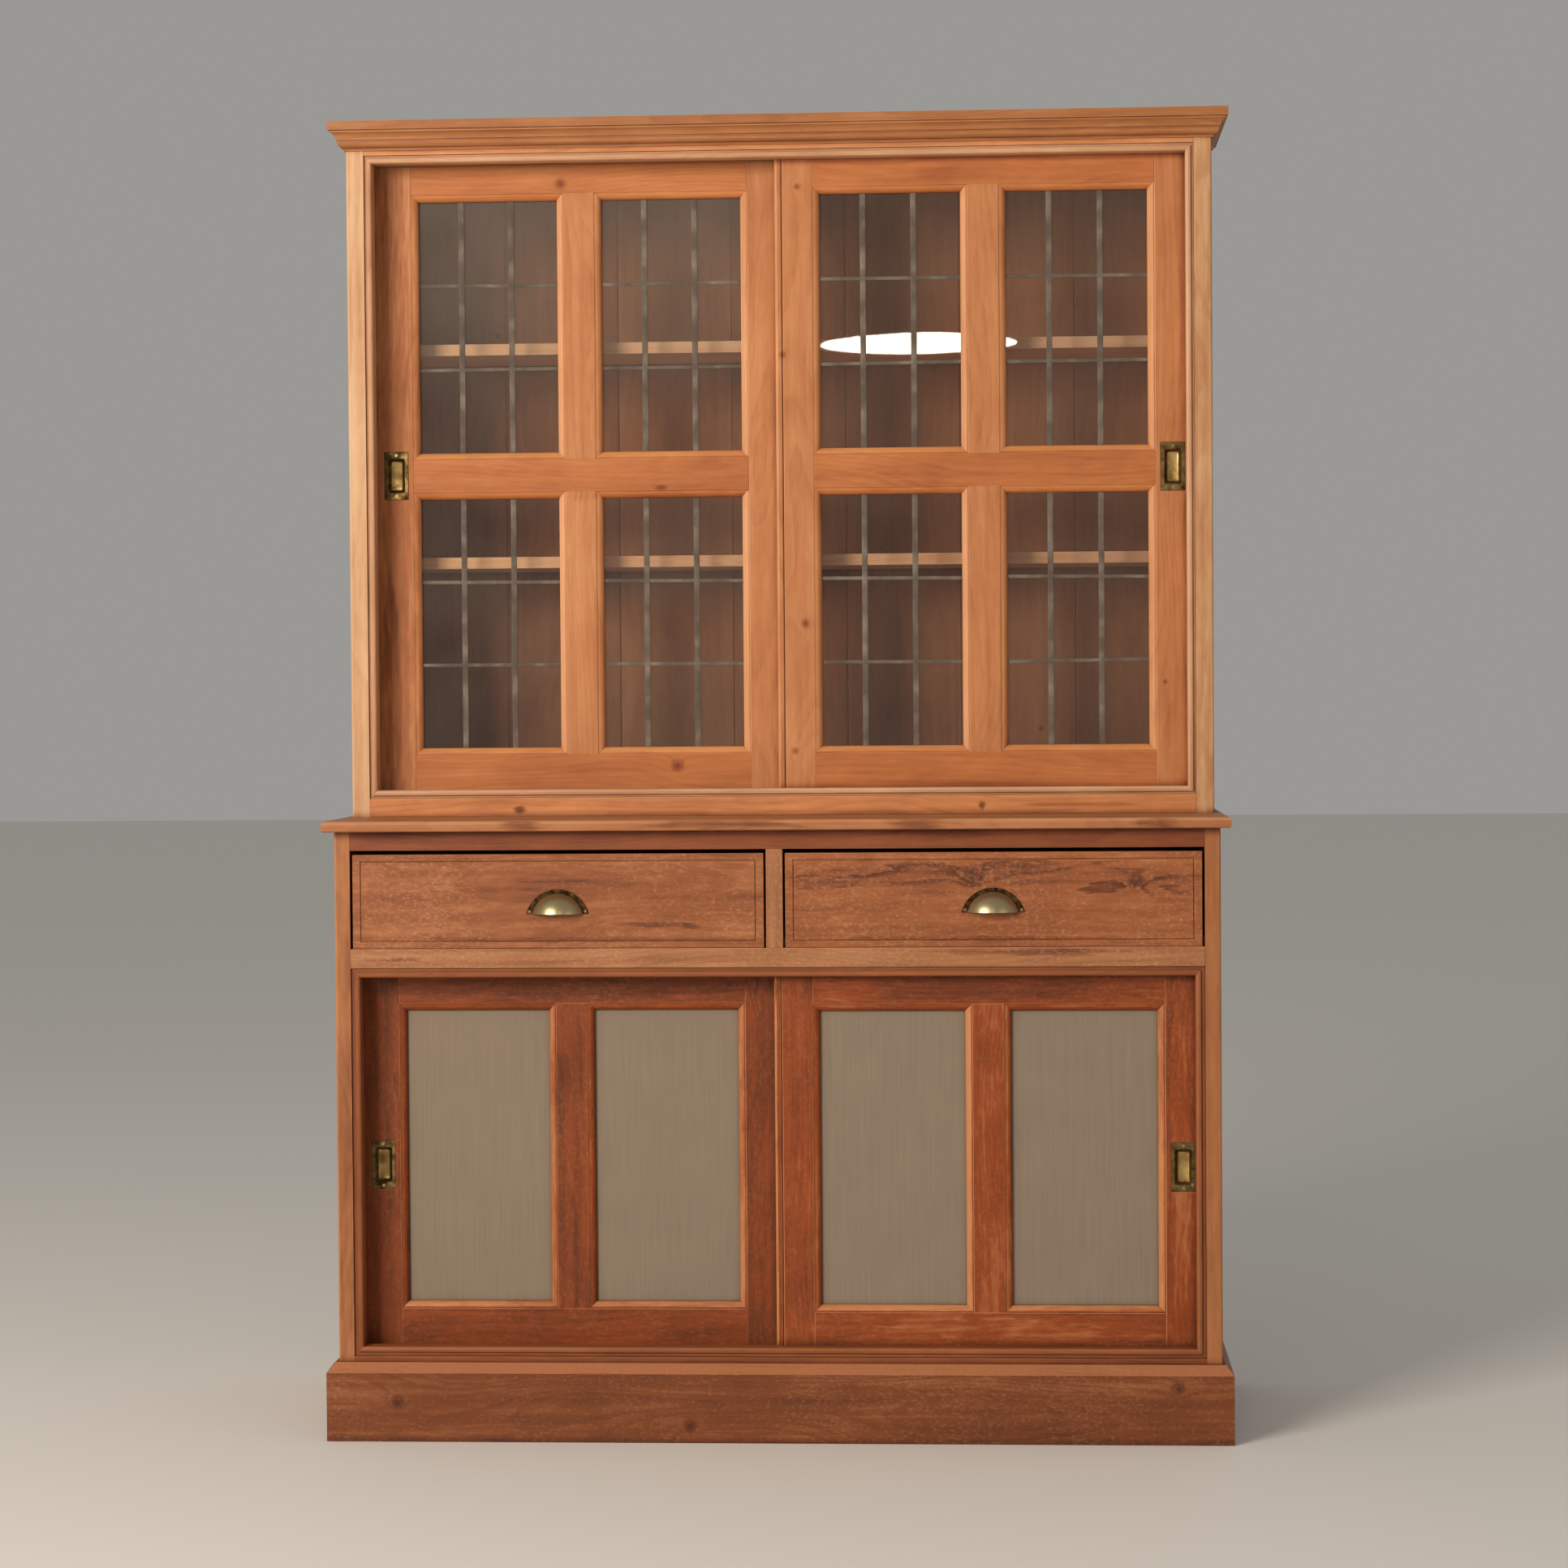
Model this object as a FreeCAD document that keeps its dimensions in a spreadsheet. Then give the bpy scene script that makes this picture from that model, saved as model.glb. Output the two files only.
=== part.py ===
"""Two-part pine kitchen dresser: a cupboard base with two drawers, and a glazed cupboard that stands on it.

The upper doors are leaded lights and the lower doors have painted panels. All four slide in pairs on hardwood
tongues, the left door of each pair in the rear track. X runs across the front, Y from front to back and Z up.
The origin is at floor level, in the middle of the width and of the depth.
"""
import FreeCAD, Part
import math
import os

import Sketcher
from FreeCAD import Vector

DIMENSIONS = [
    # Outer sizes of the two cases
    ("case_width", 1488.0, "width over the sides of both cases"),
    ("base_depth", 540.0, "face to back of the lower case"),
    ("upper_depth", 360.0, "face to back of the upper case"),
    # Boards
    ("base_side", 26.5, "thickness of the lower sides"),
    ("upper_side", 30.5, "thickness of the upper sides"),
    ("rail_thickness", 22.0, "front to back of the face rails"),
    ("board_thickness", 18.0, "bottom, top and track boards"),
    ("back_thickness", 12.0, "back boards"),
    ("back_rebate", 9.0, "how far the back boards enter the sides"),
    ("back_vee", 2.5, "chamfer along the edges of the back boards"),
    ("corner_round", 4.0, "radius of the front corners of the sides"),
    ("quirk_width", 2.0, "width of the scratched grooves"),
    ("quirk_depth", 2.5, "depth of the scratched grooves"),
    # Plinth
    ("plinth_height", 132.0, "height of the plinth"),
    ("plinth_front", 22.0, "thickness of the front plinth board"),
    ("plinth_side", 18.0, "thickness of the plinth returns"),
    ("plinth_mould", 16.0, "height of the moulded top edge"),
    ("plinth_lip", 6.0, "thickness left at the top of the plinth"),
    # Counter top
    ("counter_thickness", 18.4, "thickness of the counter top"),
    ("counter_front", 30.0, "overhang of the counter top in front"),
    ("counter_side", 16.5, "overhang of the counter top at each side"),
    ("counter_round", 7.0, "radius of its top edge"),
    ("counter_under_round", 4.0, "radius of its lower edge"),
    # Lower front
    ("floor_rise", 9.0, "lower cupboard's floor above the plinth"),
    ("bottom_rail", 41.0, "height of the rail behind the plinth's top edge"),
    ("base_opening", 656.7, "height of the lower door opening"),
    ("drawer_rail", 32.6, "height of the rail under the drawers"),
    ("drawer_opening", 166.0, "height of the drawer openings"),
    ("top_rail", 32.3, "height of the rail under the counter top"),
    ("drawer_post", 28.0, "width of the post between the drawers"),
    ("base_shelf_rise", 329.0, "top of the lower shelf above the cupboard's floor"),
    ("base_shelf_setback", 140.0, "lower shelf's front edge behind the face"),
    # Upper front
    ("sill_rail", 32.0, "height of the rail that stands on the counter top"),
    ("upper_opening", 1111.0, "height of the upper door opening"),
    ("head_rail", 50.0, "height of the rail over the upper doors"),
    ("shelf_thickness", 20.0, "thickness of the shelves"),
    ("low_shelf_rise", 421.0, "top of the lower glazed shelf above the floor board"),
    ("high_shelf_rise", 796.0, "top of the upper glazed shelf above the floor board"),
    ("shelf_setback", 130.0, "glazed shelves' front edge behind the face"),
    ("bearer", 22.0, "square section of the shelf bearers"),
    # Cornice
    ("cornice_projection", 27.5, "how far the cornice stands out"),
    ("cornice_fillet", 15.0, "height of the square top member"),
    ("cornice_drop", 42.0, "cornice's lower edge below the top of the sides"),
    ("cornice_rise", 6.5, "how far the cornice stands above the sides"),
    # Bead frames round the two door openings
    ("bead_depth", 30.0, "front to back of the bead frames"),
    ("base_bead", 16.0, "width of the lower bead frame"),
    ("upper_bead", 14.0, "width of the upper bead frame"),
    ("bead_round", 5.0, "radius of the bead's inner front edge"),
    ("bead_ease", 1.5, "bevel of its outer front edge"),
    ("base_groove", 6.5, "width of the groove round the lower bead frame"),
    ("upper_groove", 4.5, "width of the groove round the upper bead frame"),
    ("groove_depth", 4.0, "depth of both grooves"),
    # Doors
    ("door_thickness", 28.0, "thickness of the sliding doors"),
    ("door_gap", 0.5, "front door behind the bead frame"),
    ("track_gap", 3.5, "between the front and rear doors"),
    ("glazed_lap", 4.5, "how far a closed glazed door reaches past the middle"),
    ("panelled_lap", 3.5, "how far a closed panelled door reaches past the middle"),
    ("end_gap", 1.0, "closed door to the side of the case"),
    ("ajar", 6.0, "how far the left doors stand open"),
    ("stile", 77.0, "width of the stiles with their moulding"),
    ("meeting_bead", 13.0, "strip on the leading edge of the right doors"),
    ("muntin", 77.8, "width of the middle members with their moulding"),
    ("glazed_foot", 84.3, "height of a glazed door's bottom rail"),
    ("glazed_lock", 80.6, "height of its middle rail"),
    ("low_pane", 434.1, "height of its lower panes"),
    ("glazed_top", 65.4, "height of its top rail"),
    ("panelled_foot", 81.7, "height of a panelled door's bottom rail"),
    ("panelled_top", 68.9, "height of its top rail"),
    ("sticking", 12.0, "width of the moulding round panes and panels"),
    ("sticking_step", 1.5, "square step at the moulding's outer edge"),
    ("sticking_depth", 10.0, "depth at the moulding's inner edge"),
    ("glass_line", 13.0, "front of the glass behind the door's face"),
    ("glass_thickness", 3.0, "thickness of the glass"),
    ("panel_thickness", 6.0, "thickness of the painted panels"),
    ("pane_gap", 0.5, "clearance round glass and panels in the rebate"),
    ("came_upright", 11.0, "width of the upright lead cames"),
    ("came_cross", 7.0, "width of the level lead cames"),
    ("came_edge", 4.0, "width of lead showing round the edge of a pane"),
    ("came_face", 1.2, "lead standing out from the glass"),
    ("came_shift", 6.5, "first upright came to the left of even spacing"),
    # Tracks
    ("tongue", 7.0, "thickness of the track tongues"),
    ("tongue_low", 8.0, "height of the lower tongues"),
    ("tongue_high", 14.0, "height of the upper tongues"),
    ("tongue_gap", 0.6, "clearance each side of a tongue"),
    ("seat_gap", 0.3, "running gap where a door or drawer bears"),
    ("door_foot_gap", 1.5, "door above the sill"),
    ("door_head_gap", 8.0, "door below the head, so that it lifts out"),
    # Flush pulls
    ("pull_width", 42.0, "width of a flush pull's plate"),
    ("pull_height", 83.0, "height of the plate"),
    ("pull_plate", 2.0, "thickness of the plate"),
    ("pull_proud", 0.3, "plate in front of the door's face"),
    ("recess_width", 29.0, "width of the finger recess"),
    ("recess_height", 59.0, "height of the finger recess"),
    ("recess_depth", 10.5, "depth of the finger recess"),
    ("pull_wall", 1.2, "thickness of the recess's wall"),
    ("pull_inset", 35.0, "centre of the pull from the door's outer edge"),
    ("glazed_pull", 560.5, "centre of the pull above a glazed door's foot"),
    ("panelled_pull", 315.5, "centre of the pull above a panelled door's foot"),
    # Drawers
    ("drawer_side_gap", 6.0, "drawer front to the opening's sides"),
    ("drawer_top_gap", 7.1, "drawer front below the top rail"),
    ("drawer_recess", 3.0, "drawer front behind the face"),
    ("drawer_front", 22.0, "thickness of the drawer fronts"),
    ("drawer_side", 11.0, "thickness of the drawer sides and backs"),
    ("drawer_back_gap", 45.0, "closed drawer to the back boards"),
    ("drawer_side_drop", 12.0, "drawer sides below the top of the front"),
    ("drawer_bottom", 7.0, "thickness of the drawer bottoms"),
    ("drawer_bottom_rise", 12.0, "underside of the bottom above the side's lower edge"),
    ("bottom_groove", 6.0, "how far the bottom enters the sides and the front"),
    ("guide_gap", 0.6, "drawer side to its guide"),
    ("guide_height", 16.0, "height of the drawer guides"),
    ("runner_width", 40.0, "width of the drawer runners"),
    ("scratch_inset", 11.0, "scratched groove in from the edge of the front"),
    # Cup pulls
    ("cup_width", 105.0, "width of a cup pull's flange"),
    ("cup_height", 41.0, "height of its flange"),
    ("cup_flange", 1.8, "thickness of the flange"),
    ("cup_rim", 8.0, "flange showing at each side of the cup"),
    ("cup_brow", 5.0, "flange showing over the cup"),
    ("cup_projection", 26.0, "how far the cup stands out"),
    ("cup_wall", 1.8, "thickness of the cup"),
    ("cup_centre", 58.0, "lower edge of the pull above the drawer front's foot"),
]
BACK_BOARDS = 7
UPRIGHT_CAMES = 2
CROSS_CAMES = 2
# A moulding's curve is this much flatter than one that starts level with the step beside it
ARC_EASE = 1.04

doc = FreeCAD.newDocument("kitchen_dresser")
sheet = doc.addObject("Spreadsheet::Sheet", "dims")


class Size:
    """A length that knows its number and the sheet expression that gives it."""

    def __init__(self, text, number):
        self.text = text
        self.number = number

    def __add__(self, other):
        other = size(other)
        return Size(f"({self.text} + {other.text})", self.number + other.number)

    def __sub__(self, other):
        other = size(other)
        return Size(f"({self.text} - {other.text})", self.number - other.number)

    def __mul__(self, other):
        other = size(other)
        return Size(f"({self.text} * {other.text})", self.number * other.number)

    def __truediv__(self, other):
        other = size(other)
        return Size(f"({self.text} / {other.text})", self.number / other.number)

    def __neg__(self):
        return Size(f"(0 - {self.text})", -self.number)

    def root(self):
        """The square root of a product of two lengths."""
        return Size(f"sqrt({self.text})", math.sqrt(self.number))


def size(value):
    """A Size for a Size or for a plain number."""
    return value if isinstance(value, Size) else Size(str(value), float(value))


class Dims:
    """The named sizes of the sheet."""


def fill_sheet():
    """Writes the driving sizes to the sheet, one row each, and returns them by name."""
    dims = Dims()
    for row, (alias, number, note) in enumerate(DIMENSIONS, start=1):
        sheet.set(f"A{row}", alias)
        sheet.set(f"B{row}", str(number))
        sheet.set(f"C{row}", note)
        sheet.setAlias(f"B{row}", alias)
        setattr(dims, alias, Size(f"dims.{alias}", number))
    doc.recompute()
    return dims


d = fill_sheet()

# Planes that the pieces are set out from
back = d.base_depth / 2 + d.counter_front / 2
base_face = back - d.base_depth
upper_face = back - d.upper_depth
half = d.case_width / 2
base_inside = half - d.base_side
upper_inside = half - d.upper_side
base_sill = d.plinth_height + d.floor_rise
base_head = base_sill + d.base_opening
drawer_floor = base_head + d.drawer_rail
drawer_head = drawer_floor + d.drawer_opening
counter_underside = drawer_head + d.top_rail
counter_top = counter_underside + d.counter_thickness
upper_sill = counter_top + d.sill_rail
upper_head = upper_sill + d.upper_opening
case_top = upper_head + d.head_rail
base_shelf_top = base_sill + d.base_shelf_rise
low_shelf_top = upper_sill + d.low_shelf_rise
high_shelf_top = upper_sill + d.high_shelf_rise
back_front = back - d.back_thickness
front_track = d.bead_depth + d.door_gap
rear_track = front_track + d.door_thickness + d.track_gap
moulding_fall = d.sticking_depth - d.sticking_step
moulding_radius = (d.sticking * d.sticking + moulding_fall * moulding_fall) / moulding_fall / 2 * ARC_EASE
nodes = []


def bind(thing, name, value):
    """Ties one property of an object to the sheet."""
    thing.setExpression(name, size(value).text)


def place(thing, at):
    """Ties an object's position to the sheet."""
    for axis, value in zip("xyz", at):
        bind(thing, f"Placement.Base.{axis}", value)


def node(label, pieces):
    """Makes one named sub-part of one or more separate pieces."""
    if len(pieces) == 1:
        part = pieces[0]
    else:
        part = doc.addObject("Part::Compound", label)
        part.Links = pieces
    part.Label = label
    nodes.append(part)
    return part


def box(name, low, high):
    """A board between two corners."""
    board = doc.addObject("Part::Box", name)
    for name_of_side, first, last in zip(("Length", "Width", "Height"), low, high):
        bind(board, name_of_side, size(last) - first)
    place(board, low)
    return board


def cut(name, base, tools):
    """The base with the tools taken out of it."""
    piece = doc.addObject("Part::Cut", name)
    piece.Base = base
    piece.Tool = tools[0] if len(tools) == 1 else fuse(f"{name}_tools", tools)
    return piece


def fuse(name, pieces):
    """The pieces joined to one."""
    joined = doc.addObject("Part::MultiFuse", name)
    joined.Shapes = pieces
    return joined


def common(name, pieces):
    """What all the pieces share."""
    shared = doc.addObject("Part::MultiCommon", name)
    shared.Shapes = pieces
    return shared


def arc_between(start, end, radius, side):
    """An arc of under a half circle from start to end, with its centre on the given side of that line.

    Returns the arc and whether its own start is the outline's start.
    """
    chord = end - start
    middle = (start + end) * 0.5
    reach = math.sqrt(radius * radius - chord.Length * chord.Length / 4)
    normal = Vector(-chord.y, chord.x, 0).normalize()
    centre = middle + normal * reach * side
    first = math.atan2(start.y - centre.y, start.x - centre.x)
    last = math.atan2(end.y - centre.y, end.x - centre.x)
    circle = Part.Circle(centre, Vector(0, 0, 1), radius)
    if side > 0:
        return Part.ArcOfCircle(circle, first, last), True
    return Part.ArcOfCircle(circle, last, first), False


def outline(sketch, corners):
    """Draws a closed outline whose corners are tied to the sheet.

    A corner is (x, y), followed by (radius, side) where an arc leads from it to the next corner. side is 1
    where the arc's centre lies to the left of the way from corner to corner, and -1 where it is to the right.
    """
    points = [Vector(size(c[0]).number, size(c[1]).number, 0) for c in corners]
    ends = []
    for index, corner in enumerate(corners):
        start = points[index]
        end = points[(index + 1) % len(points)]
        if len(corner) == 2:
            edge = sketch.addGeometry(Part.LineSegment(start, end), False)
            ends.append((edge, 1, 2))
            continue
        arc, forward = arc_between(start, end, size(corner[2]).number, corner[3])
        edge = sketch.addGeometry(arc, False)
        ends.append((edge, 1, 2) if forward else (edge, 2, 1))
        radius = sketch.addConstraint(Sketcher.Constraint("Radius", edge, size(corner[2]).number))
        bind(sketch, f"Constraints[{radius}]", corner[2])
    for index, (edge, first, last) in enumerate(ends):
        following = ends[(index + 1) % len(ends)]
        sketch.addConstraint(Sketcher.Constraint("Coincident", edge, last, following[0], following[1]))
        for kind, value in zip(("DistanceX", "DistanceY"), corners[index]):
            held = Sketcher.Constraint(kind, -1, 1, edge, first, size(value).number)
            bind(sketch, f"Constraints[{sketch.addConstraint(held)}]", value)


def drawn(body, plane, corners):
    """A sketch of a closed outline in one of a body's origin planes."""
    sketch = body.newObject("Sketcher::SketchObject", f"{body.Name}_outline")
    support = [f for f in body.Origin.OriginFeatures if f.Role == plane]
    sketch.AttachmentSupport = [(support[0], "")]
    sketch.MapMode = "FlatFace"
    outline(sketch, corners)
    return sketch


def padded(name, plane, corners, length, at):
    """A body whose outline lies in one of its origin planes and is padded to a length.

    The outline's axes and the padding run along X, Y and Z for XY_Plane, Y, Z and X for YZ_Plane, and X, Z
    and backwards along Y for XZ_Plane.
    """
    body = doc.addObject("PartDesign::Body", name)
    sketch = drawn(body, plane, corners)
    pad = body.newObject("PartDesign::Pad", f"{name}_pad")
    pad.Profile = sketch
    bind(pad, "Length", length)
    place(body, at)
    return body


def turned(corners, swap=False, flip_x=False):
    """The same outline with its axes swapped, or mirrored from left to right."""
    result = []
    for corner in corners:
        first, second = (corner[1], corner[0]) if swap else (corner[0], corner[1])
        if flip_x:
            first = -size(first)
        arc = (corner[2], -corner[3] if swap != flip_x else corner[3]) if len(corner) > 2 else ()
        result.append((first, second, *arc))
    return result


def case_side(name, depth, thickness, face, low, high, left):
    """One side of a case, rounded on its front corner and rebated for the back boards."""
    corners = [
        (d.corner_round, 0),
        (thickness, 0),
        (thickness, depth - d.back_thickness),
        (thickness - d.back_rebate, depth - d.back_thickness),
        (thickness - d.back_rebate, depth),
        (0, depth),
        (0, d.corner_round, d.corner_round, 1),
    ]
    outer = -half if left else half
    return padded(name, "XY_Plane", turned(corners, flip_x=not left), high - low, (outer, face, low))


def back_boards(prefix, inside, low, high):
    """A back of upright boards with chamfered edges, let into the rebates of the sides."""
    width = (inside + d.back_rebate) * 2 / BACK_BOARDS
    corners = [
        (d.back_vee, 0),
        (width - d.back_vee, 0),
        (width, d.back_vee),
        (width, d.back_thickness),
        (0, d.back_thickness),
        (0, d.back_vee),
    ]
    boards = []
    for index in range(BACK_BOARDS):
        start = width * index - inside - d.back_rebate
        at = (start, back_front, low)
        boards.append(padded(f"{prefix}_board_{index + 1}", "XY_Plane", corners, high - low, at))
    return node(prefix, boards)


def mitred_returns(prefix, section, projections, face, low, height):
    """A moulding round the front and both ends of a case, mitred at the corners.

    section gives the outline of a moulding for the plane that it is planted on, the way that it stands out,
    1 or -1, and how far. projections are how far the front piece and the returns stand out.
    """
    out_front, out_side = projections
    outer_x = half + out_side
    outer_y = face - out_front
    front_plan = [(-outer_x, outer_y), (outer_x, outer_y), (half, face), (-half, face)]
    left_plan = [(-outer_x, outer_y), (-half, face), (-half, back), (-outer_x, back)]
    run = padded(f"{prefix}_run", "YZ_Plane", section(face, -1, out_front), outer_x * 2, (-outer_x, 0, 0))
    plan = padded(f"{prefix}_plan", "XY_Plane", front_plan, height, (0, 0, low))
    pieces = [common(f"{prefix}_front", [run, plan])]
    for hand, left in (("left", True), ("right", False)):
        profile = turned(section(half, 1, out_side), flip_x=left)
        run = padded(f"{prefix}_{hand}_run", "XZ_Plane", profile, back - outer_y, (0, back, 0))
        end_cuts = turned(left_plan, flip_x=not left)
        plan = padded(f"{prefix}_{hand}_plan", "XY_Plane", end_cuts, height, (0, 0, low))
        pieces.append(common(f"{prefix}_{hand}", [run, plan]))
    return node(prefix, pieces)


def plinth():
    """The plinth board round the front and the ends, with a bevelled top edge."""
    def section(inner, way, thickness):
        outer = inner + thickness * way
        lip = inner + d.plinth_lip * way
        return [
            (inner, 0),
            (outer, 0),
            (outer, d.plinth_height - d.plinth_mould),
            (lip, d.plinth_height),
            (inner, d.plinth_height),
        ]

    mitred_returns("plinth", section, (d.plinth_front, d.plinth_side), base_face, size(0), d.plinth_height)


def cornice():
    """The cornice: a square top member over a hollow, a round and a small fillet."""
    top = case_top + d.cornice_rise
    under = top - d.cornice_fillet
    bottom = case_top - d.cornice_drop
    deep = under - bottom

    def section(face, way, projection):
        def at(out, down):
            return face + projection * (out * way), under - deep * down

        return [
            (face, bottom),
            at(0.12, 1.0),
            at(0.12, 0.86),
            (*at(0.22, 0.86), deep * 0.30, way),
            at(0.46, 0.56),
            at(0.46, 0.48),
            (*at(0.54, 0.48), deep * 0.52, -way),
            at(0.84, 0.10),
            at(0.84, 0.0),
            at(1.0, 0.0),
            (at(1.0, 0.0)[0], top),
            (face, top),
        ]

    out = d.cornice_projection
    mitred_returns("cornice", section, (out, out), upper_face, bottom, top - bottom)


def bead_frame(prefix, inside, low, high, width, groove, face):
    """The mitred stop bead round a door opening, rounded inside and with a groove along its outer edge."""
    section = [
        (0, d.groove_depth),
        (groove, d.groove_depth),
        (groove, d.bead_ease),
        (groove + d.bead_ease, 0),
        (width - d.bead_round, 0, d.bead_round, 1),
        (width, d.bead_round),
        (width, d.bead_depth),
        (0, d.bead_depth),
    ]
    height = high - low
    pieces = []
    plan = [(0, 0), (width, width), (width, height - width), (0, height)]
    for left in (True, False):
        hand = "left" if left else "right"
        edge = -inside if left else inside
        upright = padded(
            f"{prefix}_{hand}_run", "XY_Plane", turned(section, flip_x=not left), height, (edge, face, low)
        )
        end_cut = padded(
            f"{prefix}_{hand}_plan", "XZ_Plane", turned(plan, flip_x=not left), d.bead_depth,
            (edge, face + d.bead_depth, low),
        )
        pieces.append(common(f"{prefix}_{hand}", [upright, end_cut]))
    across = inside * 2
    lower = padded(f"{prefix}_low_run", "YZ_Plane", turned(section, swap=True), across, (-inside, face, low))
    plan = [(0, 0), (across, 0), (across - width, width), (width, width)]
    lower_cut = padded(
        f"{prefix}_low_plan", "XZ_Plane", plan, d.bead_depth, (-inside, face + d.bead_depth, low)
    )
    pieces.append(common(f"{prefix}_low", [lower, lower_cut]))
    hung = [(y, -size(z), *arc) for y, z, *arc in turned(section, swap=True)]
    hung = [(*c[:2], c[2], -c[3]) if len(c) > 2 else c for c in hung]
    upper = padded(f"{prefix}_high_run", "YZ_Plane", hung, across, (-inside, face, high))
    plan = [(0, 0), (width, -width), (across - width, -width), (across, 0)]
    upper_cut = padded(
        f"{prefix}_high_plan", "XZ_Plane", plan, d.bead_depth, (-inside, face + d.bead_depth, high)
    )
    pieces.append(common(f"{prefix}_high", [upper, upper_cut]))
    return node(prefix, pieces)


def door_tracks(prefix, inside, low, high, face):
    """Four hardwood tongues, two on the sill and two under the head, that the doors' grooves run on."""
    strips = []
    for track, offset in (("front", front_track), ("rear", rear_track)):
        start = face + offset + d.door_thickness / 2 - d.tongue / 2
        end = start + d.tongue
        for level, foot, top in (("low", low, low + d.tongue_low), ("high", high - d.tongue_high, high)):
            strips.append(box(f"{prefix}_{track}_{level}", (-inside, start, foot), (inside, end, top)))
    return node(prefix, strips)


def lower_case():
    """The base: plinth, sides, floor, rails, drawer runners, shelf and back."""
    plinth()
    sides = [
        case_side(f"base_side_{hand}", d.base_depth, d.base_side, base_face, size(0), counter_underside, left)
        for hand, left in (("left", True), ("right", False))
    ]
    node("base_sides", sides)
    rail_back = base_face + d.rail_thickness
    floor = base_sill - d.board_thickness
    floor_board = box("base_floor", (-base_inside, rail_back, floor), (base_inside, back_front, base_sill))
    node("base_bottom_board", [floor_board])
    for name, low, high in (
        ("base_bottom_rail", base_sill - d.bottom_rail, base_sill),
        ("base_drawer_rail", base_head, drawer_floor),
        ("base_top_rail", drawer_head, counter_underside),
    ):
        node(name, [box(f"{name}_board", (-base_inside, base_face, low), (base_inside, rail_back, high))])
    back_boards("base_back_boards", base_inside, size(0), counter_underside)
    post = d.drawer_post / 2
    muntin = box("post", (-post, base_face, drawer_floor), (post, rail_back, drawer_head))
    node("base_drawer_muntin", [muntin])
    dust_top = base_head + d.board_thickness
    dust_board = box("dust", (-base_inside, rail_back, base_head), (base_inside, back_front, dust_top))
    node("base_dust_board", [dust_board])
    drawer_runners(rail_back, dust_top)
    bead_frame("base_bead_frame", base_inside, base_sill, base_head, d.base_bead, d.base_groove, base_face)
    door_tracks("base_door_tracks", base_inside, base_sill, base_head, base_face)
    shelf_low = base_shelf_top - d.shelf_thickness
    shelf_front = base_face + d.base_shelf_setback
    shelf = box("shelf", (-base_inside, shelf_front, shelf_low), (base_inside, back_front, base_shelf_top))
    node("base_shelf", [shelf])


def drawer_runners(rail_back, dust_top):
    """Runners that the drawers slide on, with guides beside them."""
    reach = d.drawer_side_gap - d.guide_gap
    guide_top = drawer_floor + d.guide_height
    inner = d.drawer_post / 2 + d.drawer_side_gap - d.guide_gap
    pieces = []
    for hand, way in (("left", -1), ("right", 1)):
        outer = base_inside * way
        run = [outer, outer - d.runner_width * way]
        guide = [outer, outer - reach * way]
        for part, (a, b), low, high in (
            ("runner", run, dust_top, drawer_floor),
            ("guide", guide, drawer_floor, guide_top),
        ):
            first, last = (a, b) if way < 0 else (b, a)
            pieces.append(box(f"{part}_{hand}", (first, rail_back, low), (last, back_front, high)))
    middle = d.runner_width
    pieces.append(box("runner_middle", (-middle, rail_back, dust_top), (middle, back_front, drawer_floor)))
    pieces.append(box("guide_middle", (-inner, rail_back, drawer_floor), (inner, back_front, guide_top)))
    return node("base_drawer_runners", pieces)


def counter():
    """The counter top, rounded along its front and ends."""
    reach = half + d.counter_side
    depth = d.base_depth + d.counter_front
    corners = [(-reach, 0), (reach, 0), (reach, depth), (-reach, depth)]
    at = (0, -depth / 2, counter_underside)
    body = padded("counter_top_board", "XY_Plane", corners, d.counter_thickness, at)
    doc.recompute()
    for name, level, radius in (
        ("nosing", d.counter_thickness, d.counter_round),
        ("under_nosing", size(0), d.counter_under_round),
    ):
        base = body.Tip
        edges = []
        for index, edge in enumerate(base.Shape.Edges, start=1):
            box_of_edge = edge.BoundBox
            at_level = abs(box_of_edge.ZMax - level.number) < 0.01 and box_of_edge.ZLength < 0.01
            at_back = box_of_edge.YMin > depth.number - 0.01
            if at_level and not at_back:
                edges.append(f"Edge{index}")
        fillet = body.newObject("PartDesign::Fillet", name)
        fillet.Base = (base, edges)
        bind(fillet, "Radius", radius)
        doc.recompute()
    node("counter_top", [body])


def upper_case():
    """The glazed cupboard: sides, floor, rails, top, shelves, back and cornice."""
    sides = [
        case_side(f"upper_side_{hand}", d.upper_depth, d.upper_side, upper_face, counter_top, case_top, left)
        for hand, left in (("left", True), ("right", False))
    ]
    node("upper_sides", sides)
    rail_back = upper_face + d.rail_thickness
    floor = upper_sill - d.board_thickness
    roof = upper_head + d.board_thickness
    for name, near, far, low, high in (
        ("upper_bottom_board", rail_back, back_front, floor, upper_sill),
        ("upper_top_board", rail_back, back_front, upper_head, roof),
        ("upper_bottom_rail", upper_face, rail_back, counter_top, upper_sill),
        ("upper_head_rail", upper_face, rail_back, upper_head, case_top),
    ):
        node(name, [box(f"{name}_piece", (-upper_inside, near, low), (upper_inside, far, high))])
    back_boards("upper_back_boards", upper_inside, counter_top, roof)
    shelf_front = upper_face + d.shelf_setback
    shelves = []
    for name, top in (("low", low_shelf_top), ("high", high_shelf_top)):
        low = top - d.shelf_thickness
        ends = (-upper_inside, shelf_front, low), (upper_inside, back_front, top)
        shelves.append(box(f"{name}_shelf_board", *ends))
    node("upper_shelves", shelves)
    bead_frame("upper_bead_frame", upper_inside, upper_sill, upper_head, d.upper_bead, d.upper_groove, upper_face)
    door_tracks("upper_door_tracks", upper_inside, upper_sill, upper_head, upper_face)
    cornice()


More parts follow.
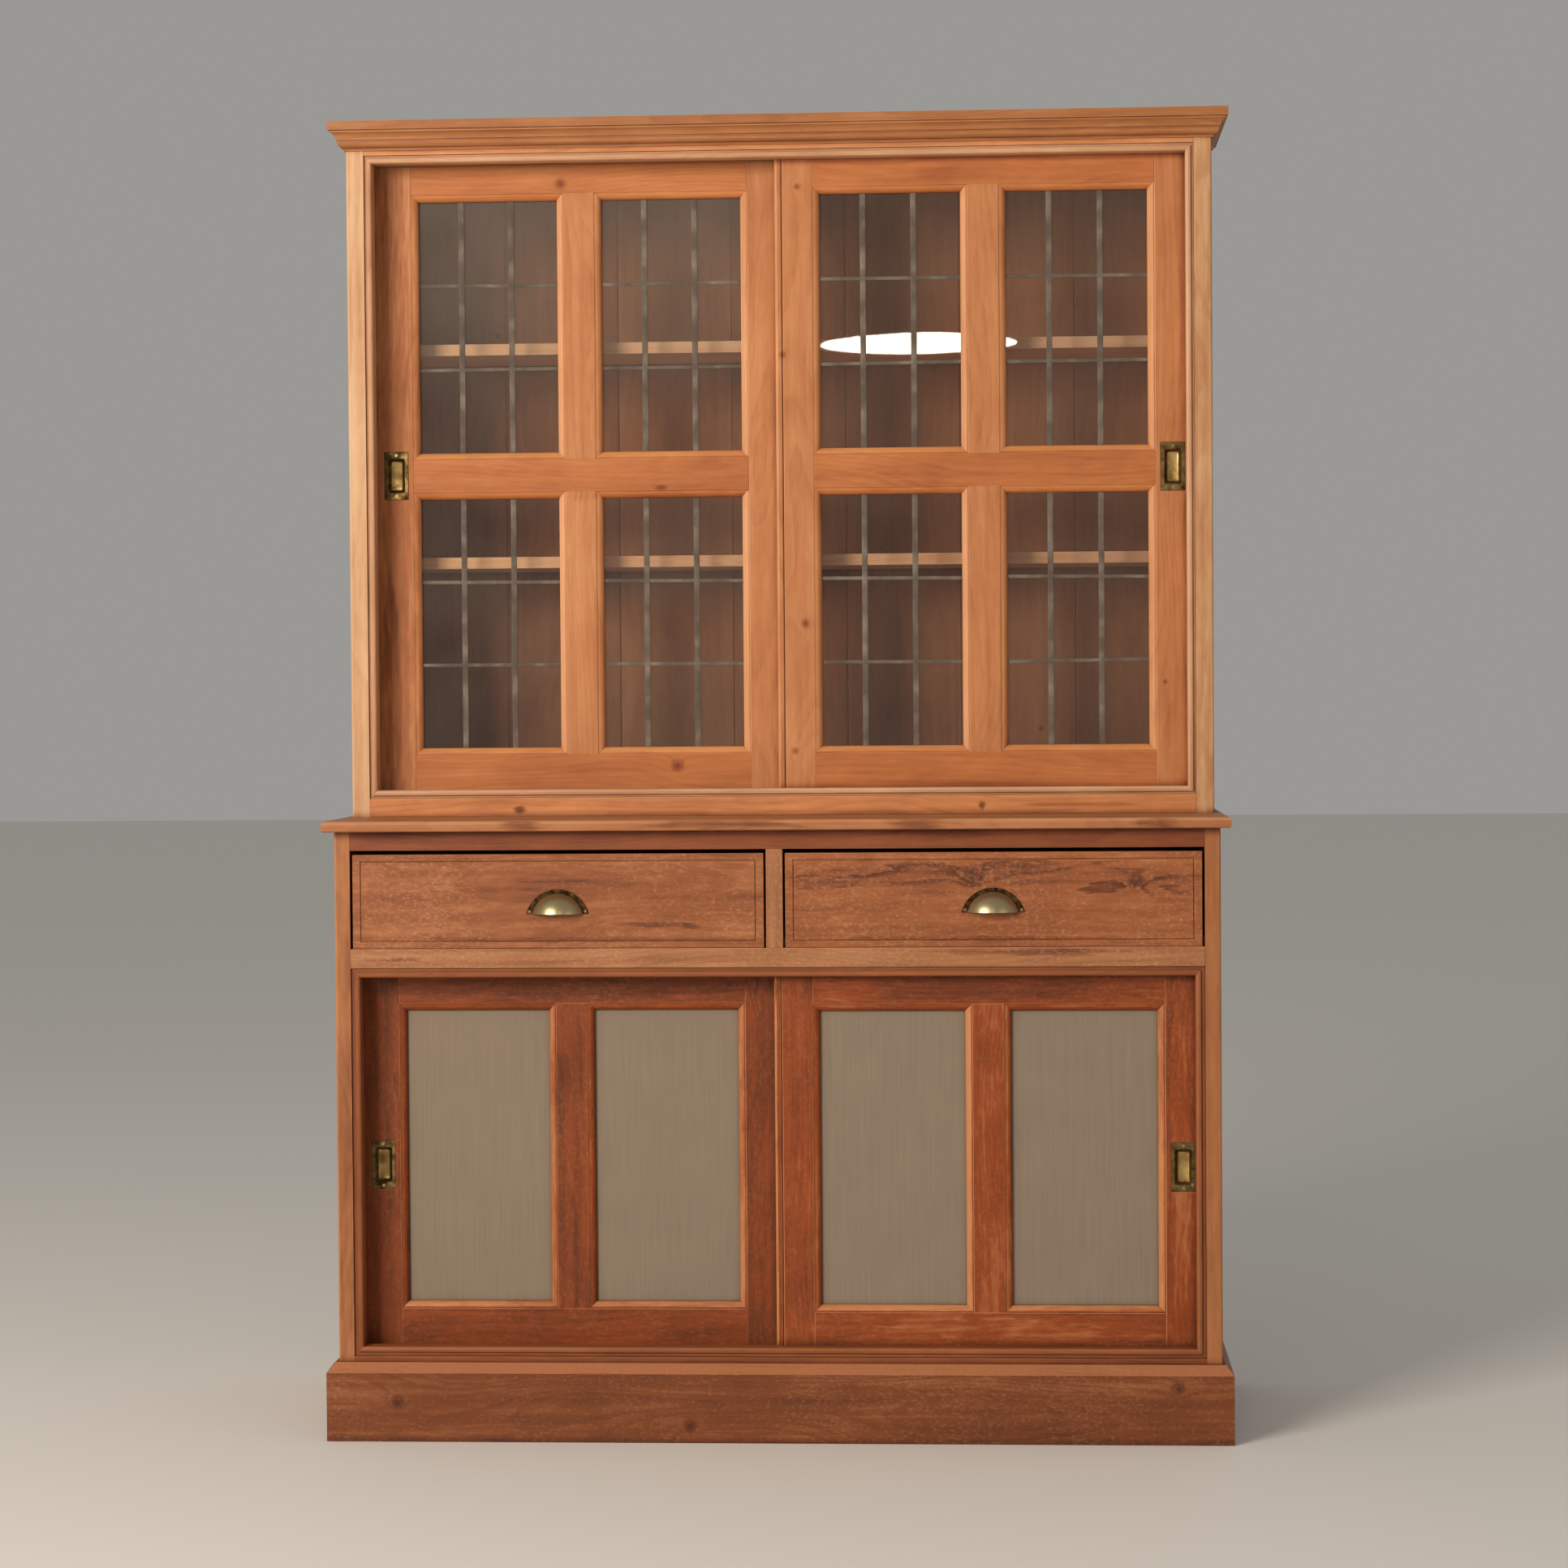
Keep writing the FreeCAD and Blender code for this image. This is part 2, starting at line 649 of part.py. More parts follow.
def shelf_bearers():
    """Square strips on the sides that carry the ends of the shelves."""
    strips = []
    for name, top, inside, front in (
        ("base", base_shelf_top, base_inside, base_face + d.base_shelf_setback),
        ("low", low_shelf_top, upper_inside, upper_face + d.shelf_setback),
        ("high", high_shelf_top, upper_inside, upper_face + d.shelf_setback),
    ):
        high = top - d.shelf_thickness
        low = high - d.bearer
        start = front + d.bearer
        for hand, left in (("left", -inside), ("right", inside - d.bearer)):
            right = left + d.bearer
            strips.append(box(f"{name}_bearer_{hand}", (left, start, low), (right, back_front, high)))
    return node("shelf_bearers", strips)


def member(width, moulded_start, moulded_end, groove=None):
    """Outline of a door member: X across it, Y from the door's face to its back.

    Where an edge is moulded, it has a step, a rounded moulding and a lip, with the rebate behind it. groove
    is the depth of the track groove in the edge at X = 0.
    """
    def edge(x, inward):
        flat = x + d.sticking * inward
        return [
            (flat, d.door_thickness),
            (flat, d.glass_line),
            (x, d.glass_line),
            (x, d.sticking_depth, moulding_radius, inward),
            (flat, d.sticking_step),
            (flat, 0),
        ]

    if moulded_start:
        start = edge(size(0), 1)
    else:
        start = [(size(0), d.door_thickness)]
        if groove is not None:
            near = d.door_thickness / 2 - d.tongue / 2 - d.tongue_gap
            far = d.door_thickness - near
            start += [(size(0), far), (groove, far), (groove, near), (size(0), near)]
        start.append((size(0), size(0)))
    if not moulded_end:
        return start + [(width, size(0)), (width, d.door_thickness)]
    corners = edge(width, -1)
    end = []
    for index in range(len(corners) - 1, -1, -1):
        previous = corners[index - 1]
        arc = (previous[2], -previous[3]) if index > 0 and len(previous) > 2 else ()
        end.append((*corners[index][:2], *arc))
    return start + end


def flush_pull(prefix, centre_x, centre_z, face):
    """A brass flush pull: a plate let into the stile with a recess for the fingers.

    Returns the space that it takes out of the stile.
    """
    def block(name, width, height, near, far):
        low = (centre_x - width / 2, face + near, centre_z - height / 2)
        high = (centre_x + width / 2, face + far, centre_z + height / 2)
        return box(name, low, high)

    plate_back = d.pull_plate - d.pull_proud
    pan_back = d.recess_depth + d.pull_wall - d.pull_proud
    pan_width = d.recess_width + d.pull_wall * 2
    pan_height = d.recess_height + d.pull_wall * 2
    plate = block(f"{prefix}_plate", d.pull_width, d.pull_height, -d.pull_proud, plate_back)
    pan = block(f"{prefix}_pan", pan_width, pan_height, -d.pull_proud, pan_back)
    recess = block(f"{prefix}_recess", d.recess_width, d.recess_height, -d.pull_proud, pan_back - d.pull_wall)
    solid = fuse(f"{prefix}_solid", [plate, pan])
    node(f"{prefix}_pull", [cut(f"{prefix}_brass", solid, [recess])])
    return solid


def door(prefix, left, top, foot, width, height, rails, pane_heights, pull_height, meeting, face, track):
    """Builds one framed sliding door and returns the window openings between its members.

    left is the door's left edge and foot its lower edge. rails are the heights of the rails and pane_heights
    those of the openings between them, both from the bottom. meeting is true where a bead strip covers the
    left edge.
    """
    front = face + track
    strip = d.meeting_bead if meeting else size(0)
    right = left + width
    stile_left = left + strip
    low_groove = d.tongue_low + d.seat_gap - d.door_foot_gap
    high_groove = d.tongue_high - d.door_head_gap + d.tongue_gap + d.tongue_low
    near = front + d.door_thickness / 2 - d.tongue / 2 - d.tongue_gap
    far = near + d.tongue + d.tongue_gap * 2
    grooves = [
        box(f"{prefix}_foot_groove", (left, near, foot), (right, far, foot + low_groove)),
        box(f"{prefix}_head_groove", (left, near, top - high_groove), (right, far, top)),
    ]
    pull_on_left = not meeting
    pull_x = left + d.pull_inset if pull_on_left else right - d.pull_inset
    mortise = flush_pull(prefix, pull_x, foot + pull_height, front)
    outlines = {
        "left": (member(d.stile - strip, False, True), stile_left),
        "right": (turned(member(d.stile, False, True), flip_x=True), right),
    }
    stiles = []
    for hand, (corners, edge) in outlines.items():
        body = padded(f"{prefix}_stile_{hand}", "XY_Plane", corners, height, (edge, front, foot))
        holds_pull = pull_on_left == (hand == "left")
        tools = [*grooves, mortise] if holds_pull else grooves
        stiles.append(cut(f"{prefix}_{hand}_stile", body, tools))
    node(f"{prefix}_stiles", stiles)
    if meeting:
        bead_outline = [
            (d.bead_round, 0),
            (strip - d.quirk_width, 0),
            (strip - d.quirk_width, d.quirk_depth),
            (strip, d.quirk_depth),
            (strip, d.door_thickness),
            (0, d.door_thickness),
            (0, d.bead_round, d.bead_round, 1),
        ]
        bead = padded(f"{prefix}_strip", "XY_Plane", bead_outline, height, (left, front, foot))
        node(f"{prefix}_bead", [cut(f"{prefix}_strip_cut", bead, grooves)])
    flat_left = left + d.stile - d.sticking
    flat_width = width - d.stile * 2 + d.sticking * 2
    level = foot
    made_rails = []
    levels = []
    for index, rail_height in enumerate(rails):
        lowest = index == 0
        highest = index == len(rails) - 1
        if highest:
            corners = turned(member(rail_height, False, True, high_groove), swap=True)
            corners = [(c[0], -size(c[1]), *((c[2], -c[3]) if len(c) > 2 else ())) for c in corners]
            start = level + rail_height
        else:
            groove = low_groove if lowest else None
            corners = turned(member(rail_height, not lowest, True, groove), swap=True)
            start = level
        at = (flat_left, front, start)
        body = padded(f"{prefix}_rail_body_{index + 1}", "YZ_Plane", corners, flat_width, at)
        made_rails.append(cut(f"{prefix}_rail_{index + 1}", body, stiles))
        level = level + rail_height
        levels.append(level)
        if not highest:
            level = level + pane_heights[index]
    node(f"{prefix}_rails", made_rails)
    pane_width = (width - d.stile * 2 - d.muntin) / 2
    muntin_left = left + d.stile + pane_width
    windows = []
    muntins = []
    for index, pane_height in enumerate(pane_heights):
        low = levels[index]
        corners = member(d.muntin, True, True)
        at = (muntin_left, front, low - d.sticking)
        length = pane_height + d.sticking * 2
        body = padded(f"{prefix}_muntin_body_{index + 1}", "XY_Plane", corners, length, at)
        muntins.append(cut(f"{prefix}_muntin_{index + 1}", body, made_rails[index:index + 2]))
        for window_left in (left + d.stile, muntin_left + d.muntin):
            windows.append((window_left, low, pane_width, pane_height))
    node(f"{prefix}_muntins", muntins)
    return windows


def sheet_in_window(name, window, front, thickness):
    """A pane or panel that lies in the rebate behind a window opening."""
    left, low, width, height = window
    lap = d.sticking - d.pane_gap
    near = front + d.glass_line
    right = left + width
    high = low + height
    return box(name, (left - lap, near, low - lap), (right + lap, near + thickness, high + lap))


def came_lattice(name, window, front):
    """Lead cames on the face of one pane: an edge came, two uprights and two level bars."""
    left, low, width, height = window
    near = front + d.glass_line - d.came_face
    far = front + d.glass_line
    right = left + width
    high = low + height
    bars = [
        box(f"{name}_edge_left", (left, near, low), (left + d.came_edge, far, high)),
        box(f"{name}_edge_right", (right - d.came_edge, near, low), (right, far, high)),
        box(f"{name}_edge_low", (left, near, low), (right, far, low + d.came_edge)),
        box(f"{name}_edge_high", (left, near, high - d.came_edge), (right, far, high)),
    ]
    for index in range(1, UPRIGHT_CAMES + 1):
        x = left + width * (index / (UPRIGHT_CAMES + 1)) - d.came_upright / 2
        if index == 1:
            x = x - d.came_shift
        bars.append(box(f"{name}_upright_{index}", (x, near, low), (x + d.came_upright, far, high)))
    for index in range(1, CROSS_CAMES + 1):
        z = low + height * (index / (CROSS_CAMES + 1)) - d.came_cross / 2
        bars.append(box(f"{name}_cross_{index}", (left, near, z), (right, far, z + d.came_cross)))
    return fuse(f"{name}_lead", bars)


def glazed_door(prefix, meeting, track):
    """A sliding door with four leaded lights."""
    width = upper_inside - d.end_gap + d.glazed_lap
    left = -d.glazed_lap if meeting else d.end_gap - upper_inside + d.ajar
    foot = upper_sill + d.door_foot_gap
    top = upper_head - d.door_head_gap
    height = top - foot
    high_pane = height - d.glazed_foot - d.glazed_lock - d.glazed_top - d.low_pane
    rails = [d.glazed_foot, d.glazed_lock, d.glazed_top]
    windows = door(
        prefix, left, top, foot, width, height, rails, [d.low_pane, high_pane], d.glazed_pull, meeting,
        upper_face, track,
    )
    front = upper_face + track
    glass = []
    leads = []
    for index, window in enumerate(windows, start=1):
        glass.append(sheet_in_window(f"{prefix}_pane_{index}", window, front, d.glass_thickness))
        leads.append(came_lattice(f"{prefix}_light_{index}", window, front))
    node(f"{prefix}_glass", glass)
    node(f"{prefix}_leads", leads)


def panelled_door(prefix, meeting, track):
    """A sliding door with two painted panels."""
    width = base_inside - d.end_gap + d.panelled_lap
    left = -d.panelled_lap if meeting else d.end_gap - base_inside + d.ajar
    foot = base_sill + d.door_foot_gap
    top = base_head - d.door_head_gap
    height = top - foot
    rails = [d.panelled_foot, d.panelled_top]
    windows = door(
        prefix, left, top, foot, width, height, rails, [height - d.panelled_foot - d.panelled_top],
        d.panelled_pull, meeting, base_face, track,
    )
    front = base_face + track
    panels = [
        sheet_in_window(f"{prefix}_panel_{index}", window, front, d.panel_thickness)
        for index, window in enumerate(windows, start=1)
    ]
    node(f"{prefix}_panels", panels)


def cup_pull(prefix, centre_x, foot, face):
    """A brass cup pull: a flat flange and a cup, part of a hollow ball, open below for the fingers."""
    half_flange = d.cup_width / 2
    across = half_flange - d.cup_rim
    up = d.cup_height - d.cup_brow
    out = d.cup_projection
    # The ball passes through the cup's two lower corners, its top and the middle of its front rim
    behind = (across * across - out * out) / out / 2
    below = (across * across - up * up) / up / 2
    radius = (across * across + behind * behind + below * below).root()

    def ball(name, ball_radius):
        shape = doc.addObject("Part::Sphere", name)
        bind(shape, "Radius", ball_radius)
        place(shape, (centre_x, face + behind, foot - below))
        return shape

    rise = d.cup_height
    flange_radius = (half_flange * half_flange + rise * rise) / rise / 2
    flange_outline = [(-half_flange, 0), (half_flange, 0, flange_radius, 1)]
    flange = padded(f"{prefix}_flange", "XZ_Plane", flange_outline, d.cup_flange, (centre_x, face, foot))
    space = box(
        f"{prefix}_space", (centre_x - half_flange, face - out, foot),
        (centre_x + half_flange, face, foot + rise),
    )
    shell = common(f"{prefix}_shell", [ball(f"{prefix}_outer", radius), space])
    inner = ball(f"{prefix}_inner", radius - d.cup_wall)
    node(f"{prefix}_pull", [cut(f"{prefix}_brass", fuse(f"{prefix}_solid", [flange, shell]), [inner])])


def drawer(prefix, low_x, high_x):
    """A drawer: scratched front, two sides, back, bottom and cup pull."""
    foot = drawer_floor + d.seat_gap
    top = drawer_head - d.drawer_top_gap
    left = low_x + d.drawer_side_gap
    right = high_x - d.drawer_side_gap
    face = base_face + d.drawer_recess
    behind = face + d.drawer_front
    end = back_front - d.drawer_back_gap
    side_top = top - d.drawer_side_drop
    bottom_low = foot + d.drawer_bottom_rise
    bottom_top = bottom_low + d.drawer_bottom
    cup_pull(prefix, (left + right) / 2, foot + d.cup_centre, face)
    board = box(f"{prefix}_front_board", (left, face, foot), (right, behind, top))
    inset = d.scratch_inset
    ring_out = inset + d.quirk_width
    ring = cut(
        f"{prefix}_scratch",
        box(
            f"{prefix}_scratch_out", (left + inset, face, foot + inset),
            (right - inset, face + d.quirk_depth, top - inset),
        ),
        [box(
            f"{prefix}_scratch_in", (left + ring_out, face, foot + ring_out),
            (right - ring_out, face + d.quirk_depth, top - ring_out),
        )],
    )
    lap = d.bottom_groove
    bottom = box(
        f"{prefix}_bottom_board", (left + d.drawer_side - lap, behind - lap, bottom_low),
        (right - d.drawer_side + lap, end, bottom_top),
    )
    node(f"{prefix}_bottom", [bottom])
    node(f"{prefix}_front", [cut(f"{prefix}_front_cut", board, [ring, bottom])])
    sides = []
    for hand, start, stop in (("left", left, left + d.drawer_side), ("right", right - d.drawer_side, right)):
        side = box(f"{prefix}_{hand}_board", (start, behind, foot), (stop, end, side_top))
        sides.append(cut(f"{prefix}_{hand}_side", side, [bottom]))
    node(f"{prefix}_sides", sides)
    back_low = (left + d.drawer_side, end - d.drawer_side, bottom_top)
    node(f"{prefix}_back", [box(f"{prefix}_back_board", back_low, (right - d.drawer_side, end, side_top))])


def check_and_write():
    """Stops on any failed object or shape, then writes one file for each sub-part."""
    doc.recompute()
    for thing in doc.Objects:
        if "Invalid" in thing.State or "Error" in thing.State:
            raise RuntimeError(f"{thing.Name} failed: {thing.State}")
    labels = [part.Label for part in nodes]
    if len(set(labels)) != len(labels):
        raise RuntimeError("two sub-parts share a name")
    for part in nodes:
        if part.Shape.isNull() or not part.Shape.isValid() or not part.Shape.Solids:
            raise RuntimeError(f"{part.Label} has no valid solid")
    os.makedirs("parts", exist_ok=True)
    for part in nodes:
        part.Shape.exportStep(os.path.join("parts", f"{part.Label}.step"))
        print(f"{part.Label}: {len(part.Shape.Solids)} solid(s)")


lower_case()
counter()
upper_case()
shelf_bearers()
glazed_door("glazed_door_left", False, rear_track)
glazed_door("glazed_door_right", True, front_track)
panelled_door("panelled_door_left", False, rear_track)
panelled_door("panelled_door_right", True, front_track)
drawer("drawer_left", -base_inside, -d.drawer_post / 2)
drawer("drawer_right", d.drawer_post / 2, base_inside)
check_and_write()
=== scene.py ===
"""Looks of a two-part pine kitchen dresser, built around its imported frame.

The case, doors and drawers are old softwood that was stripped of its paint and waxed. The upper doors hold
leaded lights, the lower doors painted panels, and the pulls are old brass. Names that end in _mm are in
millimetres and all other lengths in metres. Every board, pane and pull stands where the frame says.
"""

import logging
import math
import random
from collections.abc import Callable
from dataclasses import dataclass
from dataclasses import field
from dataclasses import replace
from enum import Enum
from functools import partial
from typing import Any
from typing import Optional
from typing import Union

import bmesh
import bpy
from mathutils import Matrix
from mathutils import Vector


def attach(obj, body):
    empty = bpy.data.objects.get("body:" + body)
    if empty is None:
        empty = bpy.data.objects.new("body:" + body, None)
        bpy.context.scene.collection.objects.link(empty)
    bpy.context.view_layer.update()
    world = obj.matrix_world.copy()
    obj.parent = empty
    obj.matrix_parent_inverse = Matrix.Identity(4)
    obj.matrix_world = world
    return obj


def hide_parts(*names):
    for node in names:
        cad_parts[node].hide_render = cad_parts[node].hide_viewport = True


MM = 0.001
LOG = logging.getLogger("dresser")

Colour = tuple[float, float, float, float]
Triple = tuple[float, float, float]
Window = tuple[float, float, float, float]
Key = tuple[int, ...]
Node = bpy.types.Node
Socket = bpy.types.NodeSocket
Put = Callable[..., Node]

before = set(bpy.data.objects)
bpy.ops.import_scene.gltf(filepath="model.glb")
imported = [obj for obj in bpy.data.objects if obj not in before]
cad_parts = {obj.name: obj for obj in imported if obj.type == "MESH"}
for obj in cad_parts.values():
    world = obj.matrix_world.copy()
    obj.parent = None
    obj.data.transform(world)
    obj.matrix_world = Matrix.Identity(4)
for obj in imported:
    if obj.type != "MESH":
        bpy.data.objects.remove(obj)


def linear(hex_colour: str) -> Colour:
    """Turns an sRGB colour into linear light.

    Args:
        hex_colour: A colour such as "#c87846".

    Returns:
        The linear red, green and blue, and an alpha of 1.
    """
    channels = []
    for start in (1, 3, 5):
        level = int(hex_colour[start:start + 2], 16) / 255
        channels.append(level / 12.92 if level <= 0.04045 else ((level + 0.055) / 1.055) ** 2.4)
    return (channels[0], channels[1], channels[2], 1.0)


def add_node(
    tree: bpy.types.NodeTree,
    kind: str,
    inputs: Optional[dict[Union[int, str], Any]] = None,
    stops: Optional[dict[float, Colour]] = None,
    **settings: Any,
) -> Node:
    """Adds one node with its settings, and fills or links its inputs.

    Args:
        tree: The node tree that gets the node.
        kind: The node's type name.
        inputs: What each input socket, by name or number, is set to or linked from. A node stands for its
            first output.
        stops: The colours of a ramp by their places from 0 to 1.
        **settings: The node's own properties.

    Returns:
        The new node.
    """
    node = tree.nodes.new(kind)
    for name, value in settings.items():
        setattr(node, name, value)
    for socket, value in (inputs or {}).items():
        source = value.outputs[0] if isinstance(value, Node) else value
        if isinstance(source, Socket):
            tree.links.new(source, node.inputs[socket])
        else:
            node.inputs[socket].default_value = source
    for index, (place, colour) in enumerate((stops or {}).items()):
        elements = node.color_ramp.elements
        if index == len(elements):
            elements.new(1.0)
        elements[index].position = place
        elements[index].color = colour
    return node


def blank_material(name: str) -> bpy.types.Material:
    """Makes a node material with nothing in it yet.

    Args:
        name: The material's name.

    Returns:
        The material.
    """
    material = bpy.data.materials.new(name)
    material.use_nodes = True
    material.node_tree.nodes.clear()
    return material


def per_mm(long_mm: float, wide_mm: float) -> Triple:
    """How often a pattern of that size fits in a millimetre along a board, and across it both ways."""
    return (1 / long_mm, 1 / wide_mm, 1 / wide_mm)


def corner_dirt_and_shade(put: Put, reach_mm: float, inner: float, outer: float, most: float) -> Node:
    """Works out how dark a point is drawn from dirt and painted shade, which both gather in the corners that
    a cloth and the light reach least.

    Args:
        put: Adds a node to the finish.
        reach_mm: How far from a corner the dirt and painted shade go.
        inner: How open a corner is, from 0 to 1, where it is drawn darkest.
        outer: How open a place is where it is drawn no darker.
        most: How dark the corners get, from dirt and painted shade.

    Returns:
        The amount of dirt.
    """
    openness = put("ShaderNodeAmbientOcclusion", {"Distance": reach_mm * MM}, samples=6).outputs["AO"]
    fade = {"Value": openness, "From Min": inner, "From Max": outer, "To Min": most, "To Max": 0.0}
    return put("ShaderNodeMapRange", fade)


class Grain(Enum):
    """The way that a board's grain runs: its value names the axis along it, then the two across it."""

    ALONG_X = "XYZ"
    ALONG_Y = "YXZ"
    ALONG_Z = "ZXY"


# Each board comes from another tree, so its pattern is read up to this far away along the grain
TREES_APART_MM = 9000.0


@dataclass(frozen=True)
class BoardPlace:
    """Where a point of a board is, as its finish reads it."""

    put: Put
    where: Socket
    axes: Node
    seed: Socket

    @classmethod
    def along(cls, put: Put, grain: Grain) -> "BoardPlace":
        """Measures a point from its board's middle, in millimetres along the grain and across it both ways.

        Args:
            put: Adds a node to the finish.
            grain: The way that the board's grain runs.

        Returns:
            The place, with the point in the dresser's own metres as well.
        """
        where = put("ShaderNodeTexCoord").outputs["Object"]
        seed = put("ShaderNodeAttribute", attribute_name="board_seed").outputs["Fac"]
        middle = put("ShaderNodeAttribute", attribute_name="board_middle").outputs["Vector"]
        from_middle = put("ShaderNodeVectorMath", {0: where, 1: middle}, operation="SUBTRACT")
        in_mm = put("ShaderNodeVectorMath", {0: from_middle, "Scale": 1 / MM}, operation="SCALE")
        split = put("ShaderNodeSeparateXYZ", {0: in_mm})
        along, across, through = (split.outputs[letter] for letter in grain.value)
        moved = put("ShaderNodeMath", {0: seed, 1: TREES_APART_MM, 2: along}, operation="MULTIPLY_ADD")
        axes = put("ShaderNodeCombineXYZ", {0: moved, 1: across, 2: through})
        return cls(put, where, axes, seed)


@dataclass(frozen=True)
class Knot:
    """A knot, by its place on the front of the dresser."""

    x_mm: float
    z_mm: float
    radius_mm: float = 8.0


@dataclass(frozen=True)
class Mark:
    """A soft-edged place on the front where the wood is darker, or where its year rings show more."""

    x_mm: float
    z_mm: float
    half_x_mm: float
    half_z_mm: float
    dark: float = 0.2
    rings: float = 0.0


# The darkness of plain wood and of deep orange wood, between 0 for the palest and 1 for the darkest
PLAIN_WOOD = 0.36
DEEP_WOOD = 0.66

# The pith wanders by this much between its furthest places, which makes the flames
PITH_WANDER_MM = 130.0

# The pith lies at most half of this from the middle of its board, so some boards show flames, others lines
PITH_SPREAD_MM = 150.0

# The rings give way this far to a knot
KNOT_BULGE_MM = 22.0

# How dark a year's ring is, from its early wood at 0 to the end of its late wood at 1
YEAR_RING = {0.0: 0.12, 0.45: 0.22, 0.8: 0.85, 0.93: 1.0, 1.0: 0.12}

# How dark a knot is over its distance from the middle, where 1 is its rim
KNOT_HEART = {"From Min": 0.2, "From Max": 1.5, "To Min": 0.46, "To Max": 0.0}

# Pin knots and nail holes lie about this far apart, and are at most 5 mm wide, with a soft rim
PIN_HOLES_APART_MM = 200
PIN_HOLE = {"From Min": 0.012, "From Max": 0.03, "To Min": 0.4, "To Max": 0.0}

# Old buff paint is left in the pores, in areas about this wide
OLD_PAINT = "#d6a078"
PAINT_AREA_MM = 200

MIDDLE_OF_NOISE = (0.5, 0.5, 0.5)


